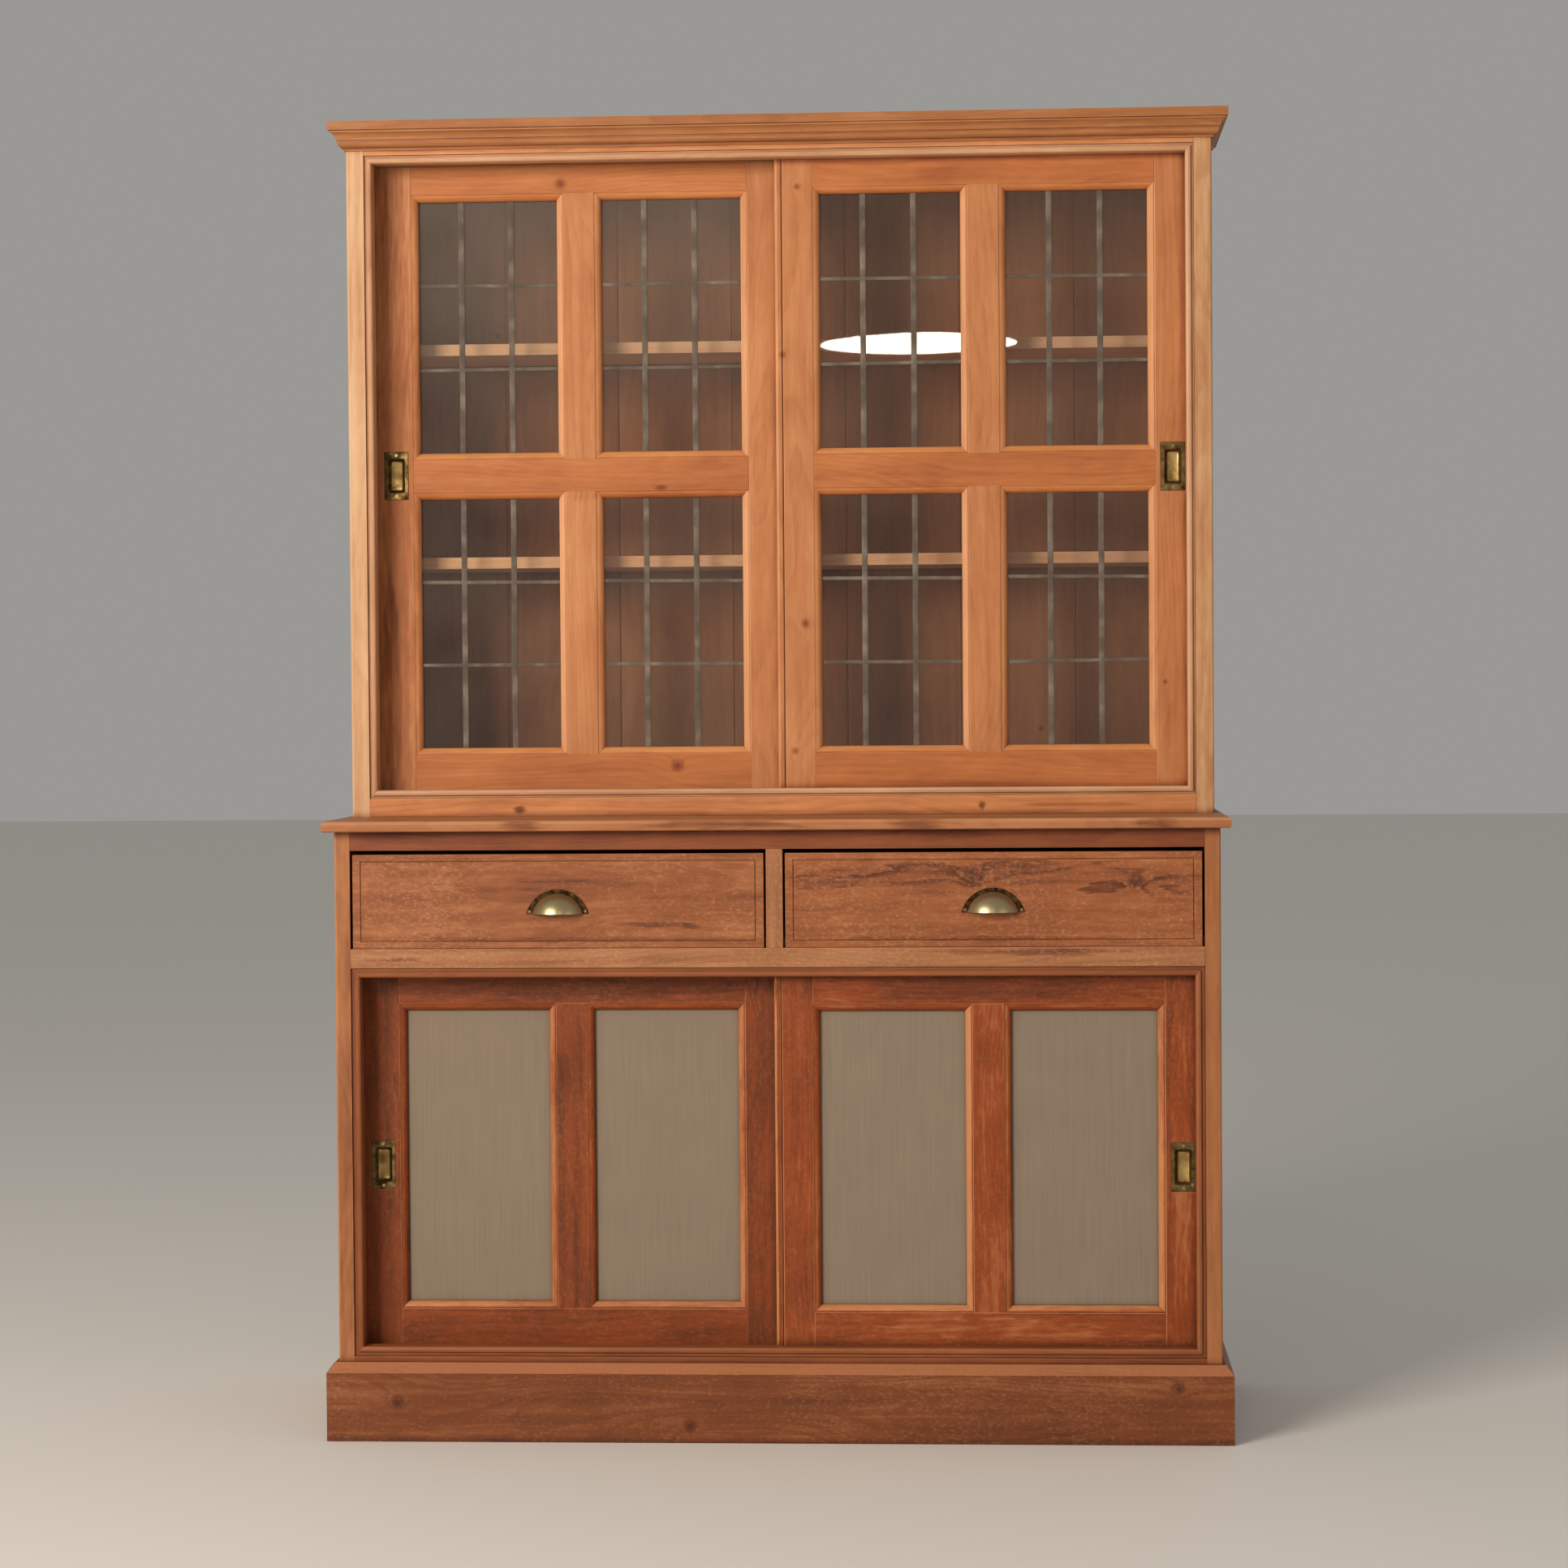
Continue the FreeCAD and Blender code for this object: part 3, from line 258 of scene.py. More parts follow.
@dataclass(frozen=True)
class Pine:
    """Old redwood pine, stripped of its paint, rubbed down by hand and waxed.

    The eye sees soft blotches and streaks between pale and deep orange, a few year rings, dark lines of dirt
    and painted shade in the corners, paler arrises where hands wore the wax away, and mouldings drawn paler
    where they face up or left, as painted light.
    """

    name: str
    pale: str
    middle: str
    deep: str
    dark: str
    ring_mm: float = 9.0
    ring_share: float = 0.12
    streak_share: float = 0.34
    patch_share: float = 0.42
    mottle_share: float = 0.16
    fibre_share: float = 0.12
    board_share: float = 0.12
    wobble_mm: float = 4.5
    relief_mm: float = 0.2
    tone: float = 0.0
    grime_and_shade: float = 0.5
    wear_and_light: float = 0.3
    paint: float = 0.0
    knots: tuple[Knot, ...] = ()
    marks: tuple[Mark, ...] = ()
    roughness: float = 0.5

    def material(self, grain: Grain) -> bpy.types.Material:
        """The finish for boards whose grain runs one way.

        Args:
            grain: The way that the grain runs.

        Returns:
            The material, made at its first use.
        """
        name = f"{self.name}_{grain.name.lower()}"
        if name in bpy.data.materials:
            return bpy.data.materials[name]
        material = blank_material(name)
        put = partial(add_node, material.node_tree)
        at = BoardPlace.along(put, grain)
        darkness = self._darkness(at)
        stops = {0.0: self.pale, PLAIN_WOOD: self.middle, DEEP_WOOD: self.deep, 1.0: self.dark}
        shades = {place: linear(colour) for place, colour in stops.items()}
        colour = put("ShaderNodeValToRGB", {"Fac": darkness}, shades)
        if self.paint > 0:
            colour = self._paint_traces(at, colour)
        # Fibres are far finer than a pixel, so they are drawn 1.6 mm wide
        fine = put("ShaderNodeVectorMath", {0: at.axes, 1: per_mm(30, 1.6)}, operation="MULTIPLY")
        fibre = put("ShaderNodeTexNoise", {"Vector": fine, "Scale": 1.0, "Detail": 2.0})
        # Late wood stands a little proud after stripping
        relief = put("ShaderNodeMath", {0: darkness, 1: 0.6, 2: fibre}, operation="MULTIPLY_ADD")
        bump = put("ShaderNodeBump", {"Height": relief, "Distance": self.relief_mm * MM, "Strength": 0.8})
        # Wax fills the pale wood and leaves the dark places duller
        dull = {"Value": darkness, "To Min": self.roughness - 0.06, "To Max": self.roughness + 0.12}
        gloss = put("ShaderNodeMapRange", dull)
        # Beeswax has an IOR near 1.46, and worn thin it shines less than a full coat
        wax = {"Roughness": gloss, "IOR": 1.46, "Specular IOR Level": 0.35, "Normal": bump}
        surface = put("ShaderNodeBsdfPrincipled", {"Base Color": colour, **wax})
        put("ShaderNodeOutputMaterial", {"Surface": surface})
        return material

    def _darkness(self, at: BoardPlace) -> Node:
        """Adds up how dark the wood is, out of rings, streaks, patches, marks, knots, dirt with painted
        corner shade, and worn edges with painted light on the mouldings.

        Args:
            at: The place on the board.

        Returns:
            The darkness, from 0 to 1.
        """
        put = at.put
        spots = [self._distance(at, (knot.x_mm, knot.z_mm), (knot.radius_mm,) * 2) for knot in self.knots]
        fate = put("ShaderNodeTexWhiteNoise", {"W": at.seed}, noise_dimensions="1D")
        plain = PLAIN_WOOD + self.tone
        half = self.board_share / 2
        total = put("ShaderNodeMapRange", {"Value": fate, "To Min": plain - half, "To Max": plain + half})
        ring_share: Union[float, Node] = self.ring_share
        for mark in self.marks:
            amount = self._mark_share(at, mark)
            ring_share = put(
                "ShaderNodeMath", {0: amount, 1: mark.rings, 2: ring_share}, operation="MULTIPLY_ADD"
            )
            total = put("ShaderNodeMath", {0: amount, 1: mark.dark, 2: total}, operation="MULTIPLY_ADD")
        rings = self._rings(at, spots)
        total = put("ShaderNodeMath", {0: rings, 1: ring_share, 2: total}, operation="MULTIPLY_ADD")
        # Length, width, detail and share of each pattern that runs with the grain
        patterns = (
            # Streaks of resin and sun
            (450, 14, 2.0, self.streak_share),
            # Patches that the old paint and the stripping left
            (170, 70, 4.0, self.patch_share),
            # Short flecks where the stripper bit
            (28, 8, 3.0, self.mottle_share),
            # Fibres, drawn 3 mm wide so that they show
            (50, 3, 2.0, self.fibre_share),
        )
        for long_mm, wide_mm, detail, share in patterns:
            rate = per_mm(long_mm, wide_mm)
            scaled = put("ShaderNodeVectorMath", {0: at.axes, 1: rate}, operation="MULTIPLY")
            noise = put("ShaderNodeTexNoise", {"Vector": scaled, "Scale": 1.0, "Detail": detail})
            even = put("ShaderNodeMath", {0: noise, 1: 0.5}, operation="SUBTRACT")
            total = put("ShaderNodeMath", {0: even, 1: share, 2: total}, operation="MULTIPLY_ADD")
        cells = put("ShaderNodeTexVoronoi", {"Vector": at.where, "Scale": 1 / (PIN_HOLES_APART_MM * MM)})
        stains = [put("ShaderNodeMapRange", {"Value": spot, **KNOT_HEART}) for spot in spots]
        stains.append(put("ShaderNodeMapRange", {"Value": cells, **PIN_HOLE}))
        # Painted shade with the dirt: corners, recesses and places under other parts are drawn darker, where
        # shade falls
        stains.append(corner_dirt_and_shade(put, reach_mm=14, inner=0.35, outer=0.95, most=self.grime_and_shade))
        for stain in stains:
            total = put("ShaderNodeMath", {0: total, 1: stain}, operation="ADD")
        # Arrises are paler from wear; mouldings are paler still where they face up or left, a painted light
        edge = put("ShaderNodeAttribute", attribute_name="worn_edge").outputs["Fac"]
        rubbed = {0: edge, 1: -self.wear_and_light, 2: total}
        return put("ShaderNodeMath", rubbed, operation="MULTIPLY_ADD", use_clamp=True)

    @staticmethod
    def _distance(at: BoardPlace, centre_mm: tuple[float, float], half_mm: tuple[float, float]) -> Socket:
        """Measures how far a place is from the middle of an oval on the front of the dresser.

        Args:
            at: The place on the board.
            centre_mm: The oval's middle, across the dresser and up.
            half_mm: The oval's half width and half height.

        Returns:
            The distance, which is 1 at the oval's rim.
        """
        centre = (centre_mm[0] * MM, 0.0, centre_mm[1] * MM)
        flat = (1 / (half_mm[0] * MM), 0.0, 1 / (half_mm[1] * MM))
        away = at.put("ShaderNodeVectorMath", {0: at.where, 1: centre}, operation="SUBTRACT")
        scaled = at.put("ShaderNodeVectorMath", {0: away, 1: flat}, operation="MULTIPLY")
        return at.put("ShaderNodeVectorMath", {0: scaled}, operation="LENGTH").outputs["Value"]

    def _mark_share(self, at: BoardPlace, mark: Mark) -> Node:
        """Works out how much of a mark there is at a place, with a ragged edge along the grain.

        Args:
            at: The place on the board.
            mark: The mark, which only a face that looks forward can have.

        Returns:
            Its share, from 0 to 1.
        """
        put = at.put
        away = self._distance(at, (mark.x_mm, mark.z_mm), (mark.half_x_mm, mark.half_z_mm))
        ragged = put("ShaderNodeVectorMath", {0: at.axes, 1: per_mm(60, 7)}, operation="MULTIPLY")
        noise = put("ShaderNodeTexNoise", {"Vector": ragged, "Scale": 1.0, "Detail": 2.0})
        edge = put("ShaderNodeMath", {0: noise, 1: 1.4, 2: away}, operation="MULTIPLY_ADD")
        fade = {"Value": edge, "From Min": 1.0, "From Max": 1.8, "To Min": 1.0, "To Max": 0.0}
        amount = put("ShaderNodeMapRange", fade, interpolation_type="SMOOTHSTEP")
        facing = put("ShaderNodeNewGeometry").outputs["Normal"]
        ahead = put("ShaderNodeSeparateXYZ", {0: facing}).outputs["Y"]
        front = put("ShaderNodeMapRange", {"Value": ahead, "From Min": -0.3, "From Max": -0.7})
        return put("ShaderNodeMath", {0: amount, 1: front}, operation="MULTIPLY")

    def _rings(self, at: BoardPlace, spots: list[Socket]) -> Node:
        """Draws year rings about a pith line that wanders through the board or beside it.

        Args:
            at: The place on the board.
            spots: Its distance from each knot.

        Returns:
            The ring's darkness, from 0 in early wood to 1 in late wood.
        """
        put = at.put
        slow = put("ShaderNodeVectorMath", {0: at.axes, 1: per_mm(520, 160)}, operation="MULTIPLY")
        drift = put("ShaderNodeTexNoise", {"Vector": slow, "Scale": 1.0, "Detail": 1.0}).outputs["Color"]
        chance = put("ShaderNodeTexWhiteNoise", {"W": at.seed}, noise_dimensions="1D").outputs["Color"]
        shifts = []
        for source, reach_mm in ((drift, PITH_WANDER_MM), (chance, PITH_SPREAD_MM)):
            even = put("ShaderNodeVectorMath", {0: source, 1: MIDDLE_OF_NOISE}, operation="SUBTRACT")
            reach = (0.0, reach_mm, reach_mm)
            shifts.append(put("ShaderNodeVectorMath", {0: even, 1: reach}, operation="MULTIPLY"))
        cross = put("ShaderNodeVectorMath", {0: at.axes, 1: (0.0, 1.0, 1.0)}, operation="MULTIPLY")
        moved = put("ShaderNodeVectorMath", {0: cross, 1: shifts[0]}, operation="ADD")
        apart = put("ShaderNodeVectorMath", {0: moved, 1: shifts[1]}, operation="SUBTRACT")
        radius = put("ShaderNodeVectorMath", {0: apart}, operation="LENGTH").outputs["Value"]
        for spot in spots:
            near = put("ShaderNodeMath", {0: spot, 1: spot, 2: 1.0}, operation="MULTIPLY_ADD")
            push = put("ShaderNodeMath", {0: KNOT_BULGE_MM, 1: near}, operation="DIVIDE")
            radius = put("ShaderNodeMath", {0: radius, 1: push}, operation="ADD")
        # Each ring also wobbles, in waves about 90 mm long
        quick = put("ShaderNodeVectorMath", {0: at.axes, 1: per_mm(90, 14)}, operation="MULTIPLY")
        wobble = put("ShaderNodeTexNoise", {"Vector": quick, "Scale": 1.0, "Detail": 2.0})
        ring = put("ShaderNodeMath", {0: wobble, 1: self.wobble_mm, 2: radius}, operation="MULTIPLY_ADD")
        count = put("ShaderNodeMath", {0: ring, 1: 1 / self.ring_mm}, operation="MULTIPLY")
        phase = put("ShaderNodeMath", {0: count}, operation="FRACT")
        greys = {place: (level, level, level, 1.0) for place, level in YEAR_RING.items()}
        band = put("ShaderNodeValToRGB", {"Fac": phase}, greys)
        # No two years are alike, so each ring has its own weight
        year = put("ShaderNodeMath", {0: count}, operation="FLOOR")
        fate = put("ShaderNodeTexWhiteNoise", {"W": year}, noise_dimensions="1D")
        weight = put("ShaderNodeMapRange", {"Value": fate, "To Min": 0.35})
        return put("ShaderNodeMath", {0: band, 1: weight}, operation="MULTIPLY")

    def _paint_traces(self, at: BoardPlace, colour: Node) -> Node:
        """Leaves pale specks of old paint in the pores, drawn 4 mm wide and 7 mm long so that they show.

        Args:
            at: The place on the board.
            colour: The wood's own colour there.

        Returns:
            The colour with the specks on it.
        """
        put = at.put
        pores = put("ShaderNodeVectorMath", {0: at.axes, 1: per_mm(7, 4)}, operation="MULTIPLY")
        specks = put("ShaderNodeTexNoise", {"Vector": pores, "Scale": 1.0, "Detail": 1.0})
        broad = {"Vector": at.where, "Scale": 1 / (PAINT_AREA_MM * MM), "Detail": 2.0}
        areas = put("ShaderNodeTexNoise", broad)
        both = put("ShaderNodeMath", {0: areas, 1: 0.4, 2: specks}, operation="MULTIPLY_ADD")
        fade = {"Value": both, "From Min": 0.72, "From Max": 1.04, "To Max": self.paint}
        amount = put("ShaderNodeMapRange", fade)
        return put("ShaderNodeMixRGB", {0: amount, 1: colour, 2: linear(OLD_PAINT)})


@dataclass(frozen=True)
class PanelPaint:
    """Matt distemper, brushed on by hand: a chalky grey-brown with faint strokes, and dirt and painted shade
    along its edges.
    """

    name: str = "matt_panel_paint"
    colour: str = "#928271"
    shaded: str = "#7e7061"
    dirt_and_shade: str = "#3a2a1c"
    stroke_mm: tuple[float, float] = (143.0, 4.0)
    cloud_mm: float = 71.4

    def material(self, grain: Grain) -> bpy.types.Material:
        """The finish, brushed along the board and made at its first use.

        Args:
            grain: The way that the board under the paint runs, which is the same on every panel.

        Returns:
            The material.
        """
        if self.name in bpy.data.materials:
            return bpy.data.materials[self.name]
        material = blank_material(self.name)
        put = partial(add_node, material.node_tree)
        where = put("ShaderNodeTexCoord").outputs["Object"]
        long_mm, wide_mm = self.stroke_mm
        per_metre = [1 / ((long_mm if letter == grain.value[0] else wide_mm) * MM) for letter in "XYZ"]
        scaled = put("ShaderNodeVectorMath", {0: where, 1: per_metre}, operation="MULTIPLY")
        strokes = put("ShaderNodeTexNoise", {"Vector": scaled, "Scale": 1.0, "Detail": 3.0})
        broad = {"Vector": where, "Scale": 1 / (self.cloud_mm * MM), "Detail": 4.0}
        clouds = put("ShaderNodeTexNoise", broad)
        mixed = put("ShaderNodeMath", {0: clouds, 1: 0.6, 2: strokes}, operation="MULTIPLY_ADD")
        shade = put("ShaderNodeMapRange", {"Value": mixed, "From Min": 0.15, "From Max": 1.35})
        colour = put("ShaderNodeMixRGB", {0: shade, 1: linear(self.colour), 2: linear(self.shaded)})
        # Painted shade with the dirt: the panel is drawn darker along its edges, where the frame round it
        # shades it
        dirt_and_shade = corner_dirt_and_shade(put, reach_mm=18, inner=0.4, outer=0.9, most=0.45)
        dirty_and_shaded = put("ShaderNodeMixRGB", {0: dirt_and_shade, 1: colour, 2: linear(self.dirt_and_shade)})
        bump = put("ShaderNodeBump", {"Height": strokes, "Distance": 0.15 * MM, "Strength": 0.7})
        chalk = {"Roughness": 0.82, "IOR": 1.5, "Specular IOR Level": 0.25, "Normal": bump}
        surface = put("ShaderNodeBsdfPrincipled", {"Base Color": dirty_and_shaded, **chalk})
        put("ShaderNodeOutputMaterial", {"Surface": surface})
        return material


@dataclass(frozen=True)
class OldMetal:
    """Metal that was handled and left to dull: bright where it is rubbed, with dark patina in its corners."""

    name: str
    bright: str
    dull: str
    dark: str
    roughness: float
    patina: float = 0.5
    dent_mm: float = 0.25
    dent_wide_mm: float = 12.5
    spot_mm: float = 6.0

    def material(self) -> bpy.types.Material:
        """The finish, made at its first use.

        Returns:
            The material.
        """
        if self.name in bpy.data.materials:
            return bpy.data.materials[self.name]
        material = blank_material(self.name)
        put = partial(add_node, material.node_tree)
        where = put("ShaderNodeTexCoord").outputs["Object"]
        spotted = {"Vector": where, "Scale": 1 / (self.spot_mm * MM), "Detail": 4.0}
        spots = put("ShaderNodeTexNoise", spotted)
        stops = {0.32: self.bright, 0.52: self.dull, 0.72: self.dark}
        shades = {place: linear(colour) for place, colour in stops.items()}
        ramp = put("ShaderNodeValToRGB", {"Fac": spots}, shades)
        dirt_and_shade = corner_dirt_and_shade(put, reach_mm=6, inner=0.3, outer=0.95, most=self.patina)
        colour = put("ShaderNodeMixRGB", {0: dirt_and_shade, 1: ramp, 2: linear(self.dark)})
        rough = {
            "Value": spots,
            "From Min": 0.3,
            "From Max": 0.7,
            "To Min": self.roughness - 0.1,
            "To Max": self.roughness + 0.2,
        }
        gloss = put("ShaderNodeMapRange", rough)
        # Soft dents from years of use
        dented = {"Vector": where, "Scale": 1 / (self.dent_wide_mm * MM), "Detail": 2.0}
        dents = put("ShaderNodeTexNoise", dented)
        bump = put("ShaderNodeBump", {"Height": dents, "Distance": self.dent_mm * MM, "Strength": 0.8})
        metal = {"Base Color": colour, "Roughness": gloss, "Metallic": 1.0, "Normal": bump}
        surface = put("ShaderNodeBsdfPrincipled", metal)
        put("ShaderNodeOutputMaterial", {"Surface": surface})
        return material


@dataclass(frozen=True)
class OldGlass:
    """Old drawn window glass: clear with a faint film of dust, and slow waves that bend what it mirrors."""

    name: str = "old_window_glass"
    tint: str = "#fbf9f5"
    film: str = "#a88f7c"
    film_share: float = 0.035
    film_mm: float = 200.0
    wave_mm: float = 166.7
    haze: float = 0.03
    haze_from: float = 1.7
    haze_to: float = 2.1

    def material(self) -> bpy.types.Material:
        """The finish, made at its first use.

        Returns:
            The material.
        """
        if self.name in bpy.data.materials:
            return bpy.data.materials[self.name]
        material = blank_material(self.name)
        put = partial(add_node, material.node_tree)
        where = put("ShaderNodeTexCoord").outputs["Object"]
        waves = put("ShaderNodeTexNoise", {"Vector": where, "Scale": 1 / (self.wave_mm * MM), "Detail": 0.0})
        bump = put("ShaderNodeBump", {"Height": waves, "Distance": 1.0 * MM, "Strength": 0.12})
        clear = put("ShaderNodeBsdfTransparent", {"Color": linear(self.tint)})
        mirror = put("ShaderNodeBsdfAnisotropic", {"Roughness": 0.012, "Normal": bump})
        share = put("ShaderNodeFresnel", {"IOR": 1.5, "Normal": bump})
        pane = put("ShaderNodeMixShader", {0: share, 1: clear, 2: mirror})
        dust = put("ShaderNodeTexNoise", {"Vector": where, "Scale": 1 / (self.film_mm * MM), "Detail": 5.0})
        thin = {"From Min": 0.3, "From Max": 0.75, "To Min": 0.01, "To Max": self.film_share * 2}
        amount = put("ShaderNodeMapRange", {"Value": dust, **thin})
        # A cloth reaches the highest panes least, so the film thickens towards the top
        level = put("ShaderNodeSeparateXYZ", {0: where}).outputs["Z"]
        rise = {"Value": level, "From Min": self.haze_from, "From Max": self.haze_to, "To Max": self.haze}
        high = put("ShaderNodeMapRange", rise)
        both = put("ShaderNodeMath", {0: amount, 1: high}, operation="ADD")
        film = put("ShaderNodeBsdfDiffuse", {"Color": linear(self.film)})
        dusty = put("ShaderNodeMixShader", {0: both, 1: pane, 2: film})
        put("ShaderNodeOutputMaterial", {"Surface": dusty})
        return material


BoardFinish = Union[Pine, PanelPaint]

# The front edges of the upper case's sides are bleached pale and streaked
BLEACHED_PINE = Pine(
    "sun_bleached_pine_posts", "#e3bd96", "#cfa278", "#b0774a", "#66401f", wear_and_light=0.2, streak_share=0.45,
    # A painted shade: the mark darkens the right post, on the side away from the light at the left
    marks=(Mark(729, 1640, 40, 800, 0.16),),
)
# The rails round the glazed doors are warm and pale, with a few dark nail stains
UPPER_PINE = Pine(
    "stripped_pine_upper", "#f3b784", "#d58d58", "#ad693c", "#63341a",
    marks=(Mark(-452, 1058, 14, 9, 0.5), Mark(347, 1060, 8, 10, 0.5), Mark(520, 1062, 120, 5, 0.2)),
)
# The cornice is browner than the wood below it
CORNICE_PINE = Pine(
    "stripped_pine_cornice", "#c38e5f", "#a76a3d", "#864b27", "#4a2410", grime_and_shade=0.35, wear_and_light=0.35
)
# The beads round the glazed doors are rubbed pale
UPPER_BEAD_PINE = Pine(
    "stripped_pine_upper_beads", "#ddb792", "#c89570", "#aa744e", "#724223", grime_and_shade=0.22, wear_and_light=0.2
)
# The stiles of the glazed doors are pinker, and their rails a clearer orange
GLAZED_STILE_PINE = Pine(
    "stripped_pine_glazed_stiles", "#da9e70", "#c07e4e", "#a25f34", "#5d2e14", patch_share=0.5, wear_and_light=0.4,
    knots=(Knot(7.6, 1840.6, 6), Knot(44.8, 1377, 7), Knot(25, 1157, 6), Knot(35, 2129, 5)),
    marks=(
        Mark(-686, 1367, 18, 120, 0.04, 0.15), Mark(-342, 1604, 30, 14, 0.08, 0.2),
        # A painted shade: this mark darkens the left stile of the left door, which lies in shade beside the
        # case
        Mark(-672, 1560, 55, 800, 0.25),
    ),
)
GLAZED_RAIL_PINE = Pine(
    "stripped_pine_glazed_rails", "#d38f56", "#ba703c", "#995227", "#592a11", patch_share=0.5, wear_and_light=0.4,
    knots=(Knot(-379, 2145, 9), Knot(-182.5, 1132, 10)),
    marks=(Mark(-208, 1616, 12, 6, 0.3), Mark(354, 1639, 340, 50, 0.08), Mark(300, 2150, 120, 16, 0.1)),
)
# The lower case is a deeper brown than the upper one
BASE_PINE = Pine(
    "stripped_pine_base", "#a76a41", "#8e4e29", "#6e351a", "#391607", grime_and_shade=0.3,
    marks=(Mark(-640, 1020, 90, 12, 0.15), Mark(260, 1020, 120, 12, 0.15)),
)
# A painted shade: the top rail under the counter gets this darker copy of the base's finish, for the shadow
# of the counter above it
SHADED_RAIL_PINE = replace(BASE_PINE, name="stripped_pine_under_the_counter", tone=0.12)
# The counter's front edge has dark stains
COUNTER_PINE = Pine(
    "stripped_pine_counter", "#c78d64", "#a86a41", "#834d2c", "#381b0c",
    marks=(
        Mark(-424, 1042, 45, 16, 0.4), Mark(-70, 1040, 140, 10, 0.35), Mark(240, 1038, 60, 16, 0.3),
        Mark(643, 1038, 50, 12, 0.3),
    ),
)
# The beads round the panelled doors, rubbed but still brown
BASE_BEAD_PINE = Pine(
    "stripped_pine_base_beads", "#aa6941", "#90522d", "#723a1d", "#401d0c", grime_and_shade=0.22, wear_and_light=0.2
)
# The front edges of the lower case's sides are paler and streaked
POST_PINE = Pine(
    "stripped_pine_base_posts", "#c38659", "#a86b40", "#854c29", "#46220b", streak_share=0.45,
    marks=(Mark(-731, 560, 24, 500, 0.14),),
)
# The rail and post round the drawers are paler, with some old paint left in them
DRAWER_RAIL_PINE = Pine(
    "stripped_pine_drawer_rail", "#c08b63", "#a36d46", "#814b2d", "#42220f", streak_share=0.5, paint=0.3,
    marks=(Mark(420, 822, 200, 8, 0.3), Mark(-640, 812, 60, 5, 0.35)),
)
# The plinth is dark, and pale on its arris and moulded top, partly where feet rub it and partly as painted
# light on the faces that look up
PLINTH_PINE = Pine(
    "stripped_pine_plinth", "#ac6c47", "#783f1d", "#5b2b12", "#2f1305", wear_and_light=0.5, paint=0.15,
    streak_share=0.45,
    knots=(Knot(-641, 67, 10), Knot(-147, 29, 9), Knot(669, 97, 9)),
)
# The panelled doors are a deep red brown under their wax, blotchy and dark along the top
PANELLED_DOOR_PINE = Pine(
    "stripped_pine_panelled_doors", "#c38253", "#914113", "#692f0a", "#3a1504", paint=0.1, wear_and_light=0.5,
    mottle_share=0.3, patch_share=0.55, grime_and_shade=0.35,
    marks=(
        Mark(-379, 612, 26, 60, 0.04, 0.12), Mark(359, 647, 26, 40, 0.05, 0.12),
        Mark(-350, 760, 400, 26, 0.2), Mark(350, 760, 400, 26, 0.2), Mark(350, 180, 400, 34, -0.14),
        Mark(684, 480, 34, 320, -0.16),
    ),
)
# A painted shade: the left panelled door gets this darker copy of the door finish, for the shade that it
# stands in
SHADED_DOOR_PINE = replace(PANELLED_DOOR_PINE, name="stripped_pine_darker_door", tone=0.13)
# The left drawer is mottled, with specks of paint and dark stains towards its lower right
LEFT_DRAWER_PINE = Pine(
    "stripped_pine_left_drawer", "#b7794e", "#91532e", "#6e3b20", "#391b0b", paint=0.3, streak_share=0.5,
    mottle_share=0.34, grime_and_shade=0.2,
    marks=(
        Mark(-204, 869, 60, 7, 0.35, 0.2), Mark(-142, 866, 26, 6, 0.4), Mark(-485, 930, 60, 10, 0.2),
        Mark(-320, 935, 160, 16, 0.15, 0.2), Mark(-366, 845, 330, 5, 0.2),
    ),
)
# The right drawer shows the flames of its board round two knots
RIGHT_DRAWER_PINE = Pine(
    "stripped_pine_right_drawer", "#ba7b4f", "#985730", "#703c20", "#5c2c14", paint=0.3, ring_mm=13.0,
    wobble_mm=22.0, mottle_share=0.3, grime_and_shade=0.2,
    knots=(Knot(330, 948, 16), Knot(604, 938, 12)),
    marks=(
        Mark(340, 950, 340, 32, 0.05, 0.56), Mark(604, 938, 110, 30, 0.0, 0.5),
        Mark(90, 938, 60, 12, 0.08, 0.45), Mark(366, 845, 330, 5, 0.2),
    ),
)
# Wood that was never painted or waxed is paler and duller
BARE_PINE = Pine("bare_pine", "#e3bb8e", "#cb9b6b", "#a37348", "#5c3820", grime_and_shade=0.3, roughness=0.68)
# The shelves behind the glass look scrubbed, and are the palest wood of all
SHELF_PINE = Pine(
    "scrubbed_pine_shelves", "#ffdcbf", "#ffcca5", "#de9c6b", "#835132", grime_and_shade=0.2, roughness=0.68
)
# The back's wide boards differ most from each other, and are dry and brown
BACK_PINE = Pine(
    "bare_back_pine", "#c28a66", "#a36d4b", "#7b4b33", "#3f2514", grime_and_shade=0.4, roughness=0.75, board_share=0.26,
    ring_share=0.08, streak_share=0.2, ring_mm=16.0,
)
# Beech grows slowly and evenly, so its rings are close and faint
TRACK_BEECH = Pine(
    "waxed_beech", "#9a6a44", "#7d5233", "#5f3b24", "#2f1c10", ring_share=0.1, ring_mm=4.0, grime_and_shade=0.4
)
# The panels kept their paint
PANEL_PAINT = PanelPaint()
# Brass that is never polished turns a dull olive brown, nearly black where no finger goes
AGED_BRASS = OldMetal("aged_brass", "#624729", "#41301c", "#1f170d", 0.8, patina=0.7, spot_mm=6.0)
BLACKENED_BRASS = OldMetal("blackened_brass", "#63492b", "#49351f", "#241a0f", 0.7, patina=0.6, spot_mm=8.0)
PATINATED_BRASS = OldMetal("patinated_brass", "#8c7449", "#6a5534", "#382b19", 0.5, patina=0.5, spot_mm=14.0)
# Fingers keep the floor of a flush pull bright
RUBBED_BRASS = OldMetal("rubbed_brass", "#c3a56c", "#a98c58", "#7d643c", 0.42, patina=0.3, spot_mm=22.0)
